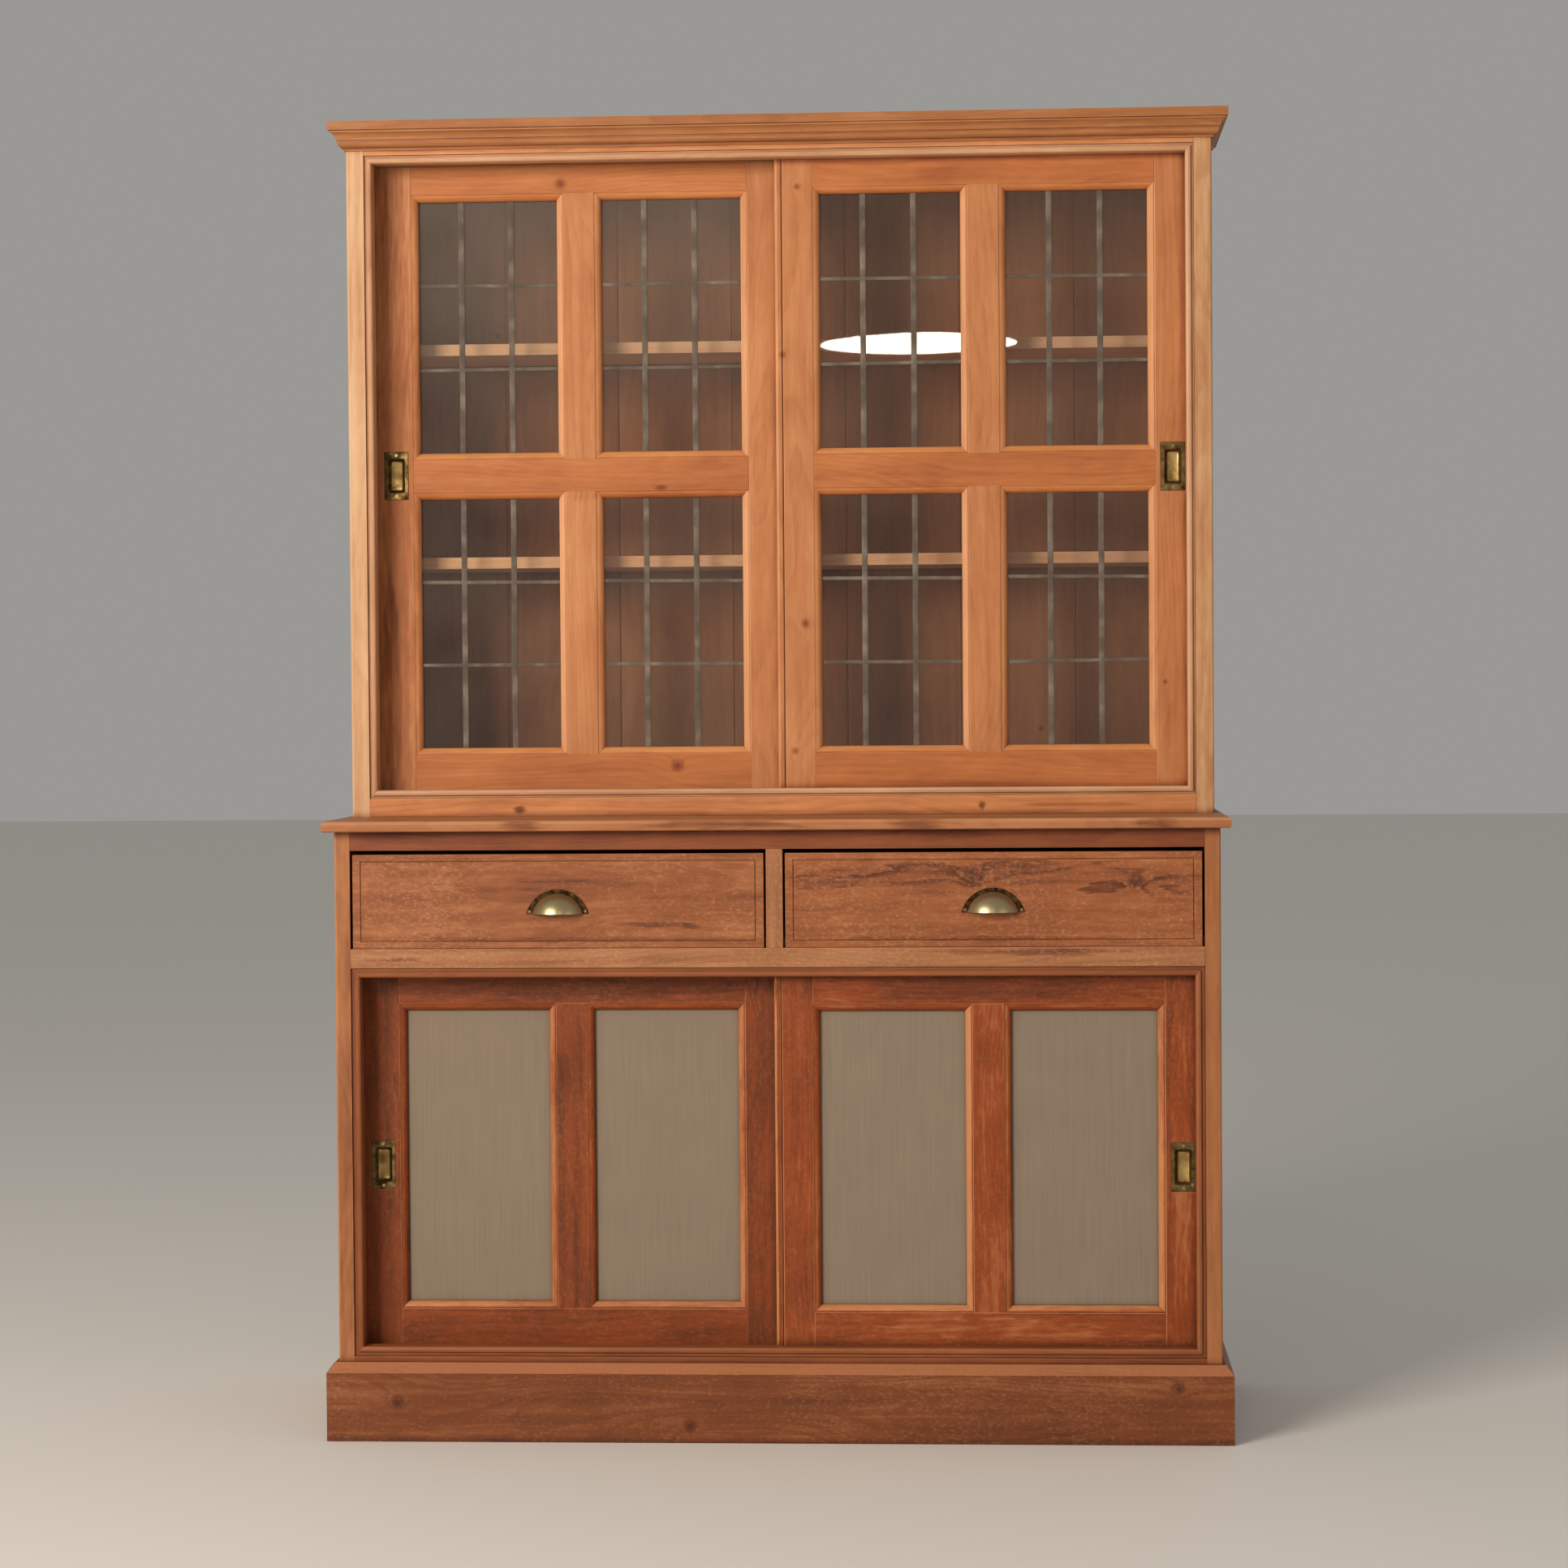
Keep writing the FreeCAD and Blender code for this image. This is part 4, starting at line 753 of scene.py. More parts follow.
# Lead soon dulls to an even grey with hardly any shine
DULL_LEAD = OldMetal("dull_lead", "#9f9489", "#988d82", "#8f8479", 0.9, patina=0.0, dent_mm=0.0, spot_mm=40.0)
# The left door's panes look hazier than the right one's, above all at the top
WINDOW_GLASS = OldGlass()
HAZY_GLASS = OldGlass("hazy_window_glass", film="#b0a396", haze=0.09)


# Points that lie within one step of this grid, which is 0.02 mm, are the same corner
STEPS_PER_MM = 50

# Faces that meet an edge at less than this turn, in radians, are two boards' faces that touch
TOUCHING_TURN = 0.001

# Neighbouring faces that turn by less than this are one flat face
FLAT_ANGLE = math.radians(0.5)

# An edge is an arris where its faces turn by more than this, and it is this many times as long as the easing
ARRIS_ANGLE = math.radians(50)
ARRIS_LENGTHS = 6

# The cut at a mitre leans more than this share of a square face, and no mitre here is longer than 140 mm
MITRE_LEAN = 0.95
MITRE_LENGTH = 140 * MM

# A face that leans more than this belongs to a moulding
MOULDING_LEAN = 0.985

# How worn a moulding is, and how much paler still it is drawn where it looks up or to the key light at the
# left, a painted light
MOULDING_WEAR = 0.42
MOULDING_PAINTED_LIGHT_TURN = 0.55

# Shading is smooth over turns up to this
SMOOTH_ANGLE = math.radians(32)

# The rims of metal are eased where they turn by more than this, once their doubled points are one
RIM_ANGLE = math.radians(40)
SAME_POINT = 0.01 * MM


def place_key(point: Vector) -> Key:
    """Gives points that lie together the same key."""
    return tuple(round(part / MM * STEPS_PER_MM) for part in point)


@dataclass
class SubAssembly:
    """A part of the dresser that moves as one, and the ways that its pieces are finished."""

    body: str = "dresser"
    pieces: list[str] = field(default_factory=list)

    def joinery(self, node: str, finish: BoardFinish, slot: str, arris_mm: float = 0.8) -> bpy.types.Object:
        """Finishes a wooden node board by board, with its arrises eased and the grain along each board.

        Args:
            node: The frame's node.
            finish: The finish of its boards.
            slot: The name of the slot for that finish, which is passed on to the piece.
            arris_mm: How wide the arrises are eased.

        Returns:
            The piece that stands for the node.
        """
        work = bmesh.new()
        chance = random.Random(node)
        worn = work.faces.layers.float.new("worn_edge")
        middles = work.verts.layers.float_vector.new("board_middle")
        seeds = work.verts.layers.float.new("board_seed")
        grains: list[Grain] = []
        for board in self._boards(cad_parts[node].data):
            points = [point for face in board for point in face]
            low, high = (Vector(map(pick, zip(*points))) for pick in (min, max))
            size = list(high - low)
            grain = list(Grain)[size.index(max(size))]
            if grain not in grains:
                grains.append(grain)
            seed = chance.random()
            faces = self._weld(work, board)
            if arris_mm > 0:
                faces = self._ease_arrises(work, faces, worn, arris_mm)
            for face in faces:
                face.material_index = grains.index(grain)
                # Mouldings are paler from wear, and a painted light makes those that face up or to the left
                # paler still
                if max(abs(part) for part in face.normal) < MOULDING_LEAN and face[worn] == 0:
                    face[worn] = MOULDING_WEAR + MOULDING_PAINTED_LIGHT_TURN * (face.normal.z - face.normal.x)
                for vert in face.verts:
                    vert[middles] = (low + high) / 2
                    vert[seeds] = seed
        piece = self._piece(f"{node}_finished", work, node, slot)
        for grain in grains:
            piece.data.materials.append(finish.material(grain))
        return piece

    @staticmethod
    def _boards(mesh: bpy.types.Mesh) -> list[list[list[Vector]]]:
        """Sorts the faces of a node into its boards, also where boards touch along whole edges.

        Each face is joined with the one that is met first on the way round their edge through the wood.

        Args:
            mesh: The node's mesh.

        Returns:
            The corners of each face of each board.
        """
        faces = [[mesh.vertices[index].co.copy() for index in polygon.vertices] for polygon in mesh.polygons]
        meeting: dict[tuple[Key, Key], list[tuple[int, bool]]] = {}
        for index, corners in enumerate(faces):
            keys = [place_key(corner) for corner in corners]
            for start, end in zip(keys, keys[1:] + keys[:1]):
                if start != end:
                    meeting.setdefault((min(start, end), max(start, end)), []).append((index, start < end))
        owner = list(range(len(faces)))

        def root(index: int) -> int:
            """Finds the face that stands for a face's board.

            Args:
                index: The face.

            Returns:
                The face that stands for its board so far.
            """
            while owner[index] != index:
                index = owner[index]
            return index

        for (start, end), group in meeting.items():
            axis = (Vector(end) - Vector(start)).normalized()
            level = axis.orthogonal().normalized()
            upright = axis.cross(level)
            angles = {}
            for index, forward in group:
                inward = mesh.polygons[index].normal.cross(axis) * (1 if forward else -1)
                angles[index] = math.atan2(inward.dot(upright), inward.dot(level))
            onward = [index for index, forward in group if forward]
            for index, forward in group:
                if not forward and onward:
                    turns = [(angles[other] - angles[index]) % math.tau for other in onward]
                    turns = [turn if turn > TOUCHING_TURN else math.tau for turn in turns]
                    owner[root(index)] = root(onward[turns.index(min(turns))])
        boards: dict[int, list[list[Vector]]] = {}
        for index, corners in enumerate(faces):
            boards.setdefault(root(index), []).append(corners)
        return list(boards.values())

    @staticmethod
    def _weld(work: bmesh.types.BMesh, board: list[list[Vector]]) -> list[bmesh.types.BMFace]:
        """Adds one board to a mesh, with its corners joined and its flat faces whole.

        Args:
            work: The mesh.
            board: The corners of each face of the board.

        Returns:
            The board's faces.
        """
        corners: dict[Key, bmesh.types.BMVert] = {}
        faces = []
        for points in board:
            verts = []
            for point in points:
                key = place_key(point)
                if key not in corners:
                    corners[key] = work.verts.new(point)
                if corners[key] not in verts:
                    verts.append(corners[key])
            if len(verts) > 2:
                faces.append(work.faces.new(verts))
        for face in faces:
            face.normal_update()
        edges = list(dict.fromkeys(edge for face in faces for edge in face.edges))
        verts = list(corners.values())
        merged = bmesh.ops.dissolve_limit(work, angle_limit=FLAT_ANGLE, verts=verts, edges=edges)
        kept = [face for face in merged["region"] if isinstance(face, bmesh.types.BMFace)]
        left = [face for vert in verts if vert.is_valid for face in vert.link_faces]
        return list(dict.fromkeys(left + kept))

    @staticmethod
    def _ease_arrises(
        work: bmesh.types.BMesh,
        faces: list[bmesh.types.BMFace],
        worn: bmesh.types.BMLayerItem,
        arris_mm: float,
    ) -> list[bmesh.types.BMFace]:
        """Takes the sharp outer edges off one board and marks what is new as worn.

        Args:
            work: The mesh.
            faces: The board's faces.
            worn: The face layer that holds how worn each face is, and on mouldings the painted light too.
            arris_mm: How wide the eased edge is.

        Returns:
            The board's faces after that.
        """
        sharp = [
            edge for edge in dict.fromkeys(edge for face in faces for edge in face.edges)
            if len(edge.link_faces) == 2
            and edge.is_convex
            and edge.calc_face_angle(0.0) > ARRIS_ANGLE
            and edge.calc_length() > ARRIS_LENGTHS * arris_mm * MM
            and not any(SubAssembly._is_mitre(face) for face in edge.link_faces)
        ]
        eased = bmesh.ops.bevel(
            work, geom=sharp, offset=arris_mm * MM, offset_type="OFFSET", segments=1, profile=0.5,
            affect="EDGES", clamp_overlap=True,
        )
        for face in eased["faces"]:
            face[worn] = 1.0
        found = {face for face in faces if face.is_valid} | set(eased["faces"])
        edge_faces = {other for face in found for edge in face.edges for other in edge.link_faces}
        return list(found | edge_faces)

    @staticmethod
    def _is_mitre(face: bmesh.types.BMFace) -> bool:
        """Tells the slanting cut at a mitre from a moulding's face, which is as long as its board."""
        slants = max(abs(part) for part in face.normal) < MITRE_LEAN
        return slants and max(edge.calc_length() for edge in face.edges) < MITRE_LENGTH

    def _piece(self, name: str, work: bmesh.types.BMesh, node: Optional[str], slot: str) -> bpy.types.Object:
        """Turns a working mesh into a piece that rides on this body.

        Args:
            name: The piece's name.
            work: The mesh, which is used up.
            node: The frame's node that the piece stands for, if any.
            slot: Not used.

        Returns:
            The piece.
        """
        mesh = bpy.data.meshes.new(name)
        for face in work.faces:
            face.smooth = True
        work.to_mesh(mesh)
        work.free()
        if "custom_normal" in mesh.attributes:
            mesh.attributes.remove(mesh.attributes["custom_normal"])
        mesh.set_sharp_from_angle(angle=SMOOTH_ANGLE)
        piece = bpy.data.objects.new(name, mesh)
        bpy.context.scene.collection.objects.link(piece)
        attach(piece, self.body)
        if node is not None:
            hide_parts(node)
        self.pieces.append(name)
        return piece

    def metalwork(self, node: str, finish: OldMetal, slot: str, rim_mm: float = 0.4) -> bpy.types.Object:
        """Finishes a metal node, with its rims eased.

        Args:
            node: The frame's node.
            finish: The metal.
            slot: The name of its slot, which is passed on to the piece.
            rim_mm: How wide the rims are eased.

        Returns:
            The piece that stands for the node.
        """
        work = bmesh.new()
        work.from_mesh(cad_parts[node].data)
        bmesh.ops.remove_doubles(work, verts=work.verts, dist=SAME_POINT)
        piece = self._piece(f"{node}_finished", work, node, slot)
        piece.data.materials.append(finish.material())
        ease = piece.modifiers.new("ease", "BEVEL")
        ease.width = rim_mm * MM
        ease.segments = 2
        ease.limit_method = "ANGLE"
        ease.angle_limit = RIM_ANGLE
        return piece

    def glazing(self, node: str, finish: OldGlass) -> None:
        """Gives the panes of a door their glass.

        Args:
            node: The frame's node, which stays as it is.
            finish: The glass.
        """
        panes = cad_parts[node]
        panes.data.materials.clear()
        panes.data.materials.append(finish.material())
        self.pieces.append(node)


@dataclass
class LeadedLight(SubAssembly):
    """The lead of one door's lights: cames with rounded hearts, soldered where they cross."""

    uprights: int = 2
    crosses: int = 2
    shift_mm: float = 6.5
    upright_mm: float = 10.0
    cross_mm: float = 6.0
    dome_mm: float = 1.1
    cross_dome_mm: float = 0.88
    tilt_mm: float = 1.2
    solder_mm: tuple[float, float] = (5.0, 6.5)
    solder_squash: tuple[float, float] = (0.6, 0.8)
    glass_y: float = 0.0
    windows: list[Window] = field(default_factory=list)

    def build(self, node: str) -> bpy.types.Object:
        """Makes the lattice of every light in the door.

        Args:
            node: The frame's node that the lattice stands for.

        Returns:
            The piece.
        """
        work = bmesh.new()
        chance = random.Random(node)
        for window in self.windows:
            self._light(work, chance, window)
        piece = self._piece(f"{node}_finished", work, node, "lead")
        piece.data.materials.append(DULL_LEAD.material())
        return piece

    def _light(self, work: bmesh.types.BMesh, chance: random.Random, window: Window) -> None:
        """Makes the lattice of one light, whose first upright stands a little off its third of the width.

        Args:
            work: The mesh that gets it.
            chance: Draws how each cross came tilts and how its solder fell.
            window: The light's left and right edge, and its lowest and highest.
        """
        left, right, low, high = window
        columns = [left + (right - left) * step / (self.uprights + 1) for step in range(1, self.uprights + 1)]
        columns[0] -= self.shift_mm * MM
        rows = [low + (high - low) * step / (self.crosses + 1) for step in range(1, self.crosses + 1)]
        for x in columns:
            self._came(work, Vector((x, 0, low)), Vector((x, 0, high)), self.upright_mm, self.dome_mm)
        for z in rows:
            tilt = chance.uniform(-self.tilt_mm, self.tilt_mm) * MM
            ends = (Vector((left, 0, z - tilt)), Vector((right, 0, z + tilt)))
            self._came(work, *ends, self.cross_mm, self.cross_dome_mm)
            for x in columns:
                self._solder(work, chance, x, z)

    def _came(
        self, work: bmesh.types.BMesh, start: Vector, end: Vector, width_mm: float, dome_mm: float
    ) -> None:
        """Lays one came on the glass, with a domed face.

        Args:
            work: The mesh that gets it.
            start: One end of its middle line.
            end: The other end.
            width_mm: Its width.
            dome_mm: How far it stands out from the glass.
        """
        along = (end - start).normalized()
        side = along.cross(Vector((0, 1, 0)))
        half = width_mm * MM / 2
        steps = 6
        loops = []
        for point in (start, end):
            loop = []
            for step in range(steps + 1):
                turn = math.pi * step / steps
                # The power makes the dome fuller than half a circle
                out = math.sin(turn) ** 0.6 * dome_mm * MM if 0 < step < steps else 0.0
                place = point + side * (math.cos(turn) * half)
                loop.append(work.verts.new((place.x, self.glass_y - out, place.z)))
            loops.append(loop)
        for step in range(steps):
            work.faces.new((loops[0][step], loops[0][step + 1], loops[1][step + 1], loops[1][step]))
        for loop in loops:
            work.faces.new(loop)
        work.faces.new((loops[0][0], loops[1][0], loops[1][-1], loops[0][-1]))

    def _solder(self, work: bmesh.types.BMesh, chance: random.Random, x: float, z: float) -> None:
        """Drops a flat bead of solder on a crossing.

        Args:
            work: The mesh that gets it.
            chance: Draws how wide and how round it is.
            x: The crossing's place across the door.
            z: Its height.
        """
        wide = chance.uniform(*self.solder_mm) * MM
        place = Matrix.Translation((x, self.glass_y - self.dome_mm * 0.6 * MM, z))
        squash = Matrix.Diagonal((wide, 1.0 * MM, wide * chance.uniform(*self.solder_squash), 1.0))
        bmesh.ops.create_uvsphere(work, u_segments=12, v_segments=8, radius=1.0, matrix=place @ squash)


@dataclass
class Screws(SubAssembly):
    """Slotted countersunk screws of brass, which hold the pulls."""

    head_mm: float = 5.0
    proud_mm: float = 0.25
    sunk_mm: float = 0.8
    slot_mm: float = 0.7
    places: list[Triple] = field(default_factory=list)

    def build(self, name: str) -> bpy.types.Object:
        """Makes the screws in one piece.

        Args:
            name: The piece's name.

        Returns:
            The piece.
        """
        work = bmesh.new()
        chance = random.Random(name)
        for place in self.places:
            self._screw(work, Vector(place), chance.uniform(0, math.pi))
        bmesh.ops.recalc_face_normals(work, faces=work.faces)
        piece = self._piece(name, work, None, "aged_brass")
        piece.data.materials.append(AGED_BRASS.material())
        return piece

    def _screw(self, work: bmesh.types.BMesh, face: Vector, turn: float) -> None:
        """Makes one screw head as two halves of a disc with its slot between them.

        Args:
            work: The mesh that gets it.
            face: Where the head's middle meets the metal round it.
            turn: How far its slot is turned.
        """
        radius = self.head_mm * MM / 2
        facing = Matrix.Translation(face) @ Matrix.Rotation(turn, 4, "Y")
        start = math.asin(self.slot_mm * MM / 2 / radius)
        steps = 10
        for side in (-1, 1):
            rim = []
            for step in range(steps + 1):
                angle = start + (math.pi - 2 * start) * step / steps
                rim.append((math.cos(angle) * radius, math.sin(angle) * radius * side))
            rings = []
            for depth in (-self.proud_mm * MM, self.sunk_mm * MM):
                rings.append([work.verts.new(facing @ Vector((x, depth, z))) for x, z in rim])
            work.faces.new(rings[0])
            work.faces.new(rings[1])
            for index in range(len(rim)):
                after = (index + 1) % len(rim)
                work.faces.new((rings[0][index], rings[0][after], rings[1][after], rings[1][index]))


@dataclass
class FlushPull(SubAssembly):
    """A flush pull of cast brass: a plate let into the stile round a dished recess for the fingers."""

    centre: Triple = (0.0, 0.0, 0.0)
    plate_mm: tuple[float, float] = (42.0, 83.0)
    recess_mm: tuple[float, float] = (29.0, 59.0)
    proud_mm: float = 0.3
    plate_back_mm: float = 1.7
    floor_mm: float = 9.6
    pan_back_mm: float = 11.2
    pan_mm: tuple[float, float] = (31.0, 61.0)

    def build(self, node: str) -> bpy.types.Object:
        """Makes the pull.

        Args:
            node: The frame's node that the pull stands for.

        Returns:
            The piece.
        """
        plate_x, plate_z = (size / 2 for size in self.plate_mm)
        recess_x, recess_z = (size / 2 for size in self.recess_mm)
        pan_x, pan_z = (size / 2 for size in self.pan_mm)
        # Half width, half height, corner radius and depth behind the door's face of each loop, from the pan's
        # back round the plate and down into the recess
        outside = (
            (pan_x - 1.0, pan_z - 1.0, 3.0, self.pan_back_mm),
            (pan_x, pan_z, 3.0, self.pan_back_mm - 1.0),
            (pan_x, pan_z, 3.0, self.plate_back_mm),
            (plate_x, plate_z, 1.5, self.plate_back_mm),
            (plate_x, plate_z, 1.5, 0.1),
            (plate_x - 0.5, plate_z - 0.5, 1.5, -self.proud_mm),
            (recess_x + 0.6, recess_z + 0.6, 3.0, -self.proud_mm),
            (recess_x, recess_z, 3.0, 0.2),
            (recess_x - 0.6, recess_z - 0.6, 3.0, 1.2),
            (recess_x - 3.2, recess_z - 2.6, 3.5, 6.6),
        )
        rubbed = (
            (recess_x - 4.6, recess_z - 4.2, 4.0, 8.6),
            (recess_x - 6.2, recess_z - 6.0, 4.0, self.floor_mm),
        )
        work = bmesh.new()
        rows = [self._loop(work, *loop) for loop in outside + rubbed]
        for index, (near, far) in enumerate(zip(rows, rows[1:])):
            for start in range(len(near)):
                after = (start + 1) % len(near)
                face = work.faces.new((near[start], near[after], far[after], far[start]))
                face.material_index = 1 if index >= len(outside) else 0
        work.faces.new(rows[0])
        work.faces.new(rows[-1]).material_index = 1
        bmesh.ops.recalc_face_normals(work, faces=work.faces)
        piece = self._piece(f"{node}_finished", work, node, "aged_brass")
        for metal in (PATINATED_BRASS, RUBBED_BRASS):
            piece.data.materials.append(metal.material())
        return piece

    def _loop(
        self, work: bmesh.types.BMesh, half_x: float, half_z: float, radius: float, depth: float
    ) -> list[bmesh.types.BMVert]:
        """Lays the points of one rounded rectangle, all sizes in millimetres.

        Args:
            work: The mesh that gets them.
            half_x: Half the width.
            half_z: Half the height.
            radius: The corners' radius.
            depth: How far behind the door's face it lies.

        Returns:
            The points in order.
        """
        steps = 5
        loop = []
        for quarter, (side, level) in enumerate(((1, 1), (-1, 1), (-1, -1), (1, -1))):
            for step in range(steps + 1):
                turn = math.pi / 2 * (quarter + step / steps)
                x = side * (half_x - radius) + math.cos(turn) * radius
                z = level * (half_z - radius) + math.sin(turn) * radius
                loop.append(work.verts.new(Vector(self.centre) + Vector((x, depth, z)) * MM))
        return loop


@dataclass
class SlidingDoor(SubAssembly):
    """What both kinds of sliding door share: a framed door with a flush pull in one stile."""

    face_y: float = 0.0
    pull_x: float = 0.0
    pull_z: float = 0.0
    screw_mm: float = 35.5
    meeting: bool = False

    def frame_pieces(self, uprights: Pine, levels: Pine, slot: str) -> None:
        """Finishes the frame of the door and its pull.

        Args:
            uprights: The finish of the stiles, muntins and bead.
            levels: The finish of the rails.
            slot: The name of the slot for both, which is passed on to each piece.
        """
        members = {"stiles": uprights, "rails": levels, "muntins": uprights}
        if self.meeting:
            members["bead"] = uprights
        for member, finish in members.items():
            self.joinery(f"{self.body}_{member}", finish, slot, arris_mm=1.2)
        pull = FlushPull(self.body, self.pieces, centre=(self.pull_x, self.face_y, self.pull_z))
        pull.build(f"{self.body}_pull")
        plate_y = self.face_y - pull.proud_mm * MM
        places = [(self.pull_x, plate_y, self.pull_z + level * self.screw_mm * MM) for level in (-1, 1)]
        Screws(self.body, self.pieces, places=places).build(f"{self.body}_pull_screws")


@dataclass
class GlazedDoor(SlidingDoor):
    """A door of the upper cupboard, with four leaded lights."""

    glass_set_mm: float = 13.0
    columns: tuple[tuple[float, float], ...] = ()
    rows: tuple[tuple[float, float], ...] = ((1.1648, 1.5989), (1.6795, 2.1166))
    glass: OldGlass = WINDOW_GLASS

    def build(self) -> None:
        """Builds and finishes the door."""
        self.frame_pieces(GLAZED_STILE_PINE, GLAZED_RAIL_PINE, "pine_glazed_doors")
        self.glazing(f"{self.body}_glass", self.glass)
        windows = [(left, right, low, high) for low, high in self.rows for left, right in self.columns]
        glass_y = self.face_y + self.glass_set_mm * MM
        leads = LeadedLight(self.body, self.pieces, glass_y=glass_y, windows=windows)
        leads.build(f"{self.body}_leads")


@dataclass
class PanelledDoor(SlidingDoor):
    """A door of the lower cupboard, with two painted panels."""

    finish: Pine = PANELLED_DOOR_PINE

    def build(self) -> None:
        """Builds and finishes the door."""
        self.frame_pieces(self.finish, self.finish, "pine_panelled_doors")
        self.joinery(f"{self.body}_panels", PANEL_PAINT, "painted_panel", arris_mm=0.4)


@dataclass
class Drawer(SubAssembly):
    """A drawer with a brass cup pull."""

    finish: Pine = LEFT_DRAWER_PINE
    centre_x: float = 0.0
    face_y: float = -0.252
    pull_foot_z: float = 0.8886
    flange_mm: float = 1.8
    flange_reach_mm: float = 2.5
    screw_x_mm: float = 47.3
    screw_z_mm: float = 4.3
    swell_mm: float = 2.0
    end_mm: float = 2.5

    def build(self) -> None:
        """Builds and finishes the drawer."""
        front = self.joinery(f"{self.body}_front", self.finish, "pine_drawers")
        self._swell(front)
        for member in ("sides", "back", "bottom"):
            self.joinery(f"{self.body}_{member}", BARE_PINE, "bare_pine")
        pull = self.metalwork(f"{self.body}_pull", AGED_BRASS, "aged_brass", rim_mm=0.6)
        # No rag reaches the flange round the cup, so it has gone nearly black
        pull.data.materials.append(BLACKENED_BRASS.material())
        for face in pull.data.polygons:
            if face.center.y > self.face_y - self.flange_reach_mm * MM:
                face.material_index = 1
        screw_y = self.face_y - self.flange_mm * MM
        screw_z = self.pull_foot_z + self.screw_z_mm * MM
        places = [(self.centre_x + side * self.screw_x_mm * MM, screw_y, screw_z) for side in (-1, 1)]
        Screws(self.body, self.pieces, head_mm=4.4, places=places).build(f"{self.body}_pull_screws")

    def _swell(self, front: bpy.types.Object) -> None:
        """Widens the front a little at both ends, because old boards swell across their joints.

        Args:
            front: The front, whose end corners move outwards.
        """
        end = max(abs(vert.co.x - self.centre_x) for vert in front.data.vertices) - self.end_mm * MM
        for vert in front.data.vertices:
            away = vert.co.x - self.centre_x
            if abs(away) > end:
                vert.co.x += math.copysign(self.swell_mm * MM, away)


@dataclass
class Case(SubAssembly):
    """Both cases, whose boards don't move."""

    def build(self) -> None:
        """Finishes every board of the lower and the upper case."""
        finishes = (
            (PLINTH_PINE, "pine_base", ("plinth",)),
            (POST_PINE, "pine_base", ("base_sides",)),
            (DRAWER_RAIL_PINE, "pine_base", ("base_drawer_rail", "base_drawer_muntin")),
            (COUNTER_PINE, "pine_base", ("counter_top",)),
            (BASE_PINE, "pine_base", ("base_bottom_rail",)),
            (SHADED_RAIL_PINE, "pine_base", ("base_top_rail",)),
            (BASE_BEAD_PINE, "pine_base", ("base_bead_frame",)),
            (BLEACHED_PINE, "pine_upper", ("upper_sides",)),
            (UPPER_PINE, "pine_upper", ("upper_bottom_rail", "upper_head_rail")),
            (CORNICE_PINE, "pine_upper", ("cornice",)),
            (UPPER_BEAD_PINE, "pine_upper", ("upper_bead_frame",)),
            (BARE_PINE, "bare_pine", (
                "base_bottom_board", "base_dust_board", "base_shelf", "upper_bottom_board", "upper_top_board",
                "shelf_bearers",
            )),
            (SHELF_PINE, "bare_pine", ("upper_shelves",)),
            (BACK_PINE, "back_pine", ("base_back_boards", "upper_back_boards")),
            (TRACK_BEECH, "hardwood", ("base_door_tracks", "upper_door_tracks")),
        )
        for finish, slot, nodes in finishes:
            for node in nodes:
                self.joinery(node, finish, slot)
        # The runners stay sharp, because nobody touches them
        self.joinery("base_drawer_runners", BARE_PINE, "bare_pine", arris_mm=0.0)


class LampShape(Enum):
    """The outline of a lamp."""

    SOFTBOX = "RECTANGLE"
    ROUND = "ELLIPSE"


@dataclass(frozen=True)
class Lamp:
    """A soft lamp of the studio, which shines on the dresser but isn't seen itself."""

    name: str
    place: Triple
    target: Triple
    watts: float
    colour: str
    width: float = 2.6
    height: float = 2.6
    shape: LampShape = LampShape.SOFTBOX

    def build(self) -> None:
        """Hangs the lamp up and turns it to its target."""
        data = bpy.data.lights.new(self.name, "AREA")
        data.shape = self.shape.value
        data.size = self.width
        data.size_y = self.height
        data.energy = self.watts
        data.color = linear(self.colour)[:3]
        lamp = bpy.data.objects.new(self.name, data)
        bpy.context.scene.collection.objects.link(lamp)
        lamp.location = self.place
        lamp.visible_camera = False
        lamp.rotation_euler = (Vector(self.target) - Vector(self.place)).to_track_quat("-Z", "Y").to_euler()


KEY_LIGHT = Lamp("key_light", (-3.4, -5.4, 3.0), (0.0, 0.0, 1.5), 340.0, "#fff3e4")
FILL_LIGHT = Lamp("fill_light", (3.8, -4.6, 2.4), (0.0, 0.0, 1.3), 15.0, "#fff6ea")
# Its mirror image is the bright oval in the glass
CEILING_LAMP = Lamp(
    "ceiling_lamp", (0.169, -3.0, 2.137), (0.19, 0.0, 1.53), 1.6, "#fffaf2", 0.5, 0.054, LampShape.ROUND
)


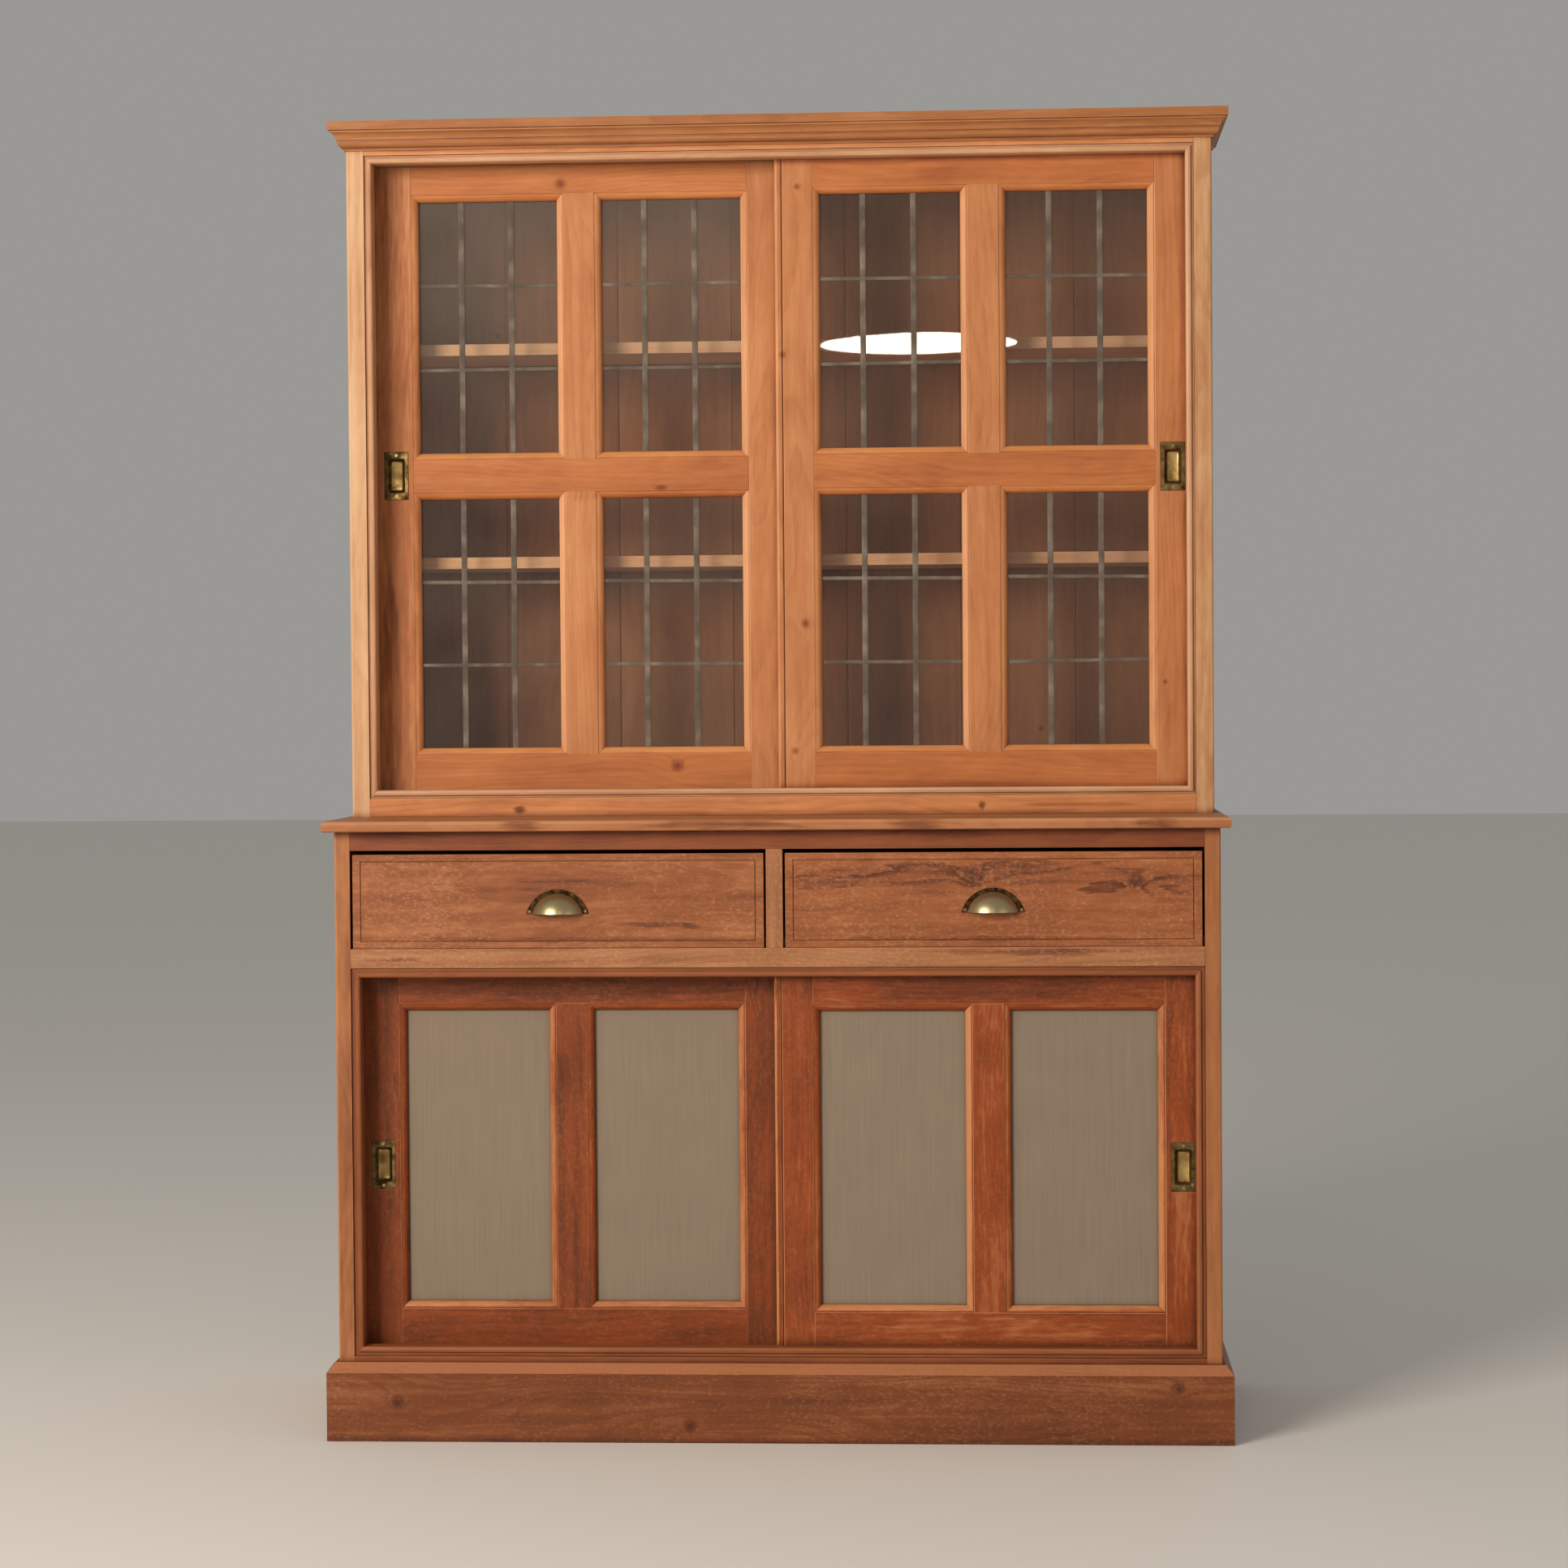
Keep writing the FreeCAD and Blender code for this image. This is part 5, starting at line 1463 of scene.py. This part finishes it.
@dataclass
class Studio:
    """A pale floor, soft lights and the camera."""

    sensor_mm: float = 36.0
    lens_mm: float = 84.17
    place: Triple = (0.3953, -6.3754, 1.2613)
    yaw: float = -0.061608
    pitch: float = -0.025501
    roll: float = 0.007564
    half_floor: float = 30.0
    paper: str = "#ece9e3"
    lamps: tuple[Lamp, ...] = (KEY_LIGHT, FILL_LIGHT, CEILING_LAMP)
    room: str = "#e8e6e2"
    room_strength: float = 0.4

    def build(self) -> None:
        """Sets the studio up."""
        self._camera()
        self._floor()
        for lamp in self.lamps:
            lamp.build()
        self._room()

    def _camera(self) -> None:
        """Stands the camera where the photographer stood."""
        data = bpy.data.cameras.new("camera")
        data.sensor_width = self.sensor_mm
        data.lens = self.lens_mm
        level = math.cos(self.pitch)
        ahead = Vector((math.sin(self.yaw) * level, math.cos(self.yaw) * level, math.sin(self.pitch)))
        right = Vector((math.cos(self.yaw), -math.sin(self.yaw), 0.0))
        down = ahead.cross(right)
        side = right * math.cos(self.roll) + down * math.sin(self.roll)
        under = down * math.cos(self.roll) - right * math.sin(self.roll)
        turned = Matrix((side, -under, -ahead)).transposed().to_4x4()
        camera = bpy.data.objects.new("camera", data)
        bpy.context.scene.collection.objects.link(camera)
        camera.matrix_world = Matrix.Translation(self.place) @ turned
        bpy.context.scene.camera = camera

    def _floor(self) -> None:
        """Lays a plain pale floor."""
        work = bmesh.new()
        bmesh.ops.create_grid(work, x_segments=1, y_segments=1, size=self.half_floor)
        mesh = bpy.data.meshes.new("studio_floor")
        work.to_mesh(mesh)
        work.free()
        floor = bpy.data.objects.new("studio_floor", mesh)
        bpy.context.scene.collection.objects.link(floor)
        material = blank_material("pale_studio_paper")
        put = partial(add_node, material.node_tree)
        surface = put("ShaderNodeBsdfPrincipled", {"Base Color": linear(self.paper), "Roughness": 0.85})
        put("ShaderNodeOutputMaterial", {"Surface": surface})
        mesh.materials.append(material)

    def _room(self) -> None:
        """Lights the room evenly, and shows colours as they are."""
        world = bpy.data.worlds.new("studio_room")
        world.use_nodes = True
        world.node_tree.nodes.clear()
        put = partial(add_node, world.node_tree)
        glow = put("ShaderNodeBackground", {"Color": linear(self.room), "Strength": self.room_strength})
        put("ShaderNodeOutputWorld", {"Surface": glow})
        bpy.context.scene.world = world
        bpy.context.scene.view_settings.view_transform = "Standard"


def main() -> None:
    """Builds every sub-assembly around the frame."""
    logging.basicConfig(level=logging.INFO, format="%(name)s: %(message)s")
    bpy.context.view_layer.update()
    Studio().build()
    left_columns = ((-0.6295, -0.3869), (-0.3091, -0.0665))
    right_columns = ((0.0725, 0.3151), (0.3929, 0.6355))
    parts: list[Union[Case, GlazedDoor, PanelledDoor, Drawer]] = [
        Case(),
        GlazedDoor(
            "glazed_door_left", face_y=-0.013, pull_x=-0.6715, pull_z=1.641,
            columns=left_columns, glass=HAZY_GLASS,
        ),
        GlazedDoor(
            "glazed_door_right", face_y=-0.0445, pull_x=0.6775, pull_z=1.641,
            columns=right_columns, meeting=True,
        ),
        PanelledDoor(
            "panelled_door_left", finish=SHADED_DOOR_PINE, face_y=-0.193, pull_x=-0.6755, pull_z=0.458
        ),
        PanelledDoor("panelled_door_right", face_y=-0.2245, pull_x=0.6815, pull_z=0.458, meeting=True),
        Drawer("drawer_left", finish=LEFT_DRAWER_PINE, centre_x=-0.36575),
        Drawer("drawer_right", finish=RIGHT_DRAWER_PINE, centre_x=0.36575),
    ]
    for part in parts:
        part.build()
        for name in part.pieces:
            LOG.info("%s: %s", part.body, name)


if __name__ == "__main__":
    main()
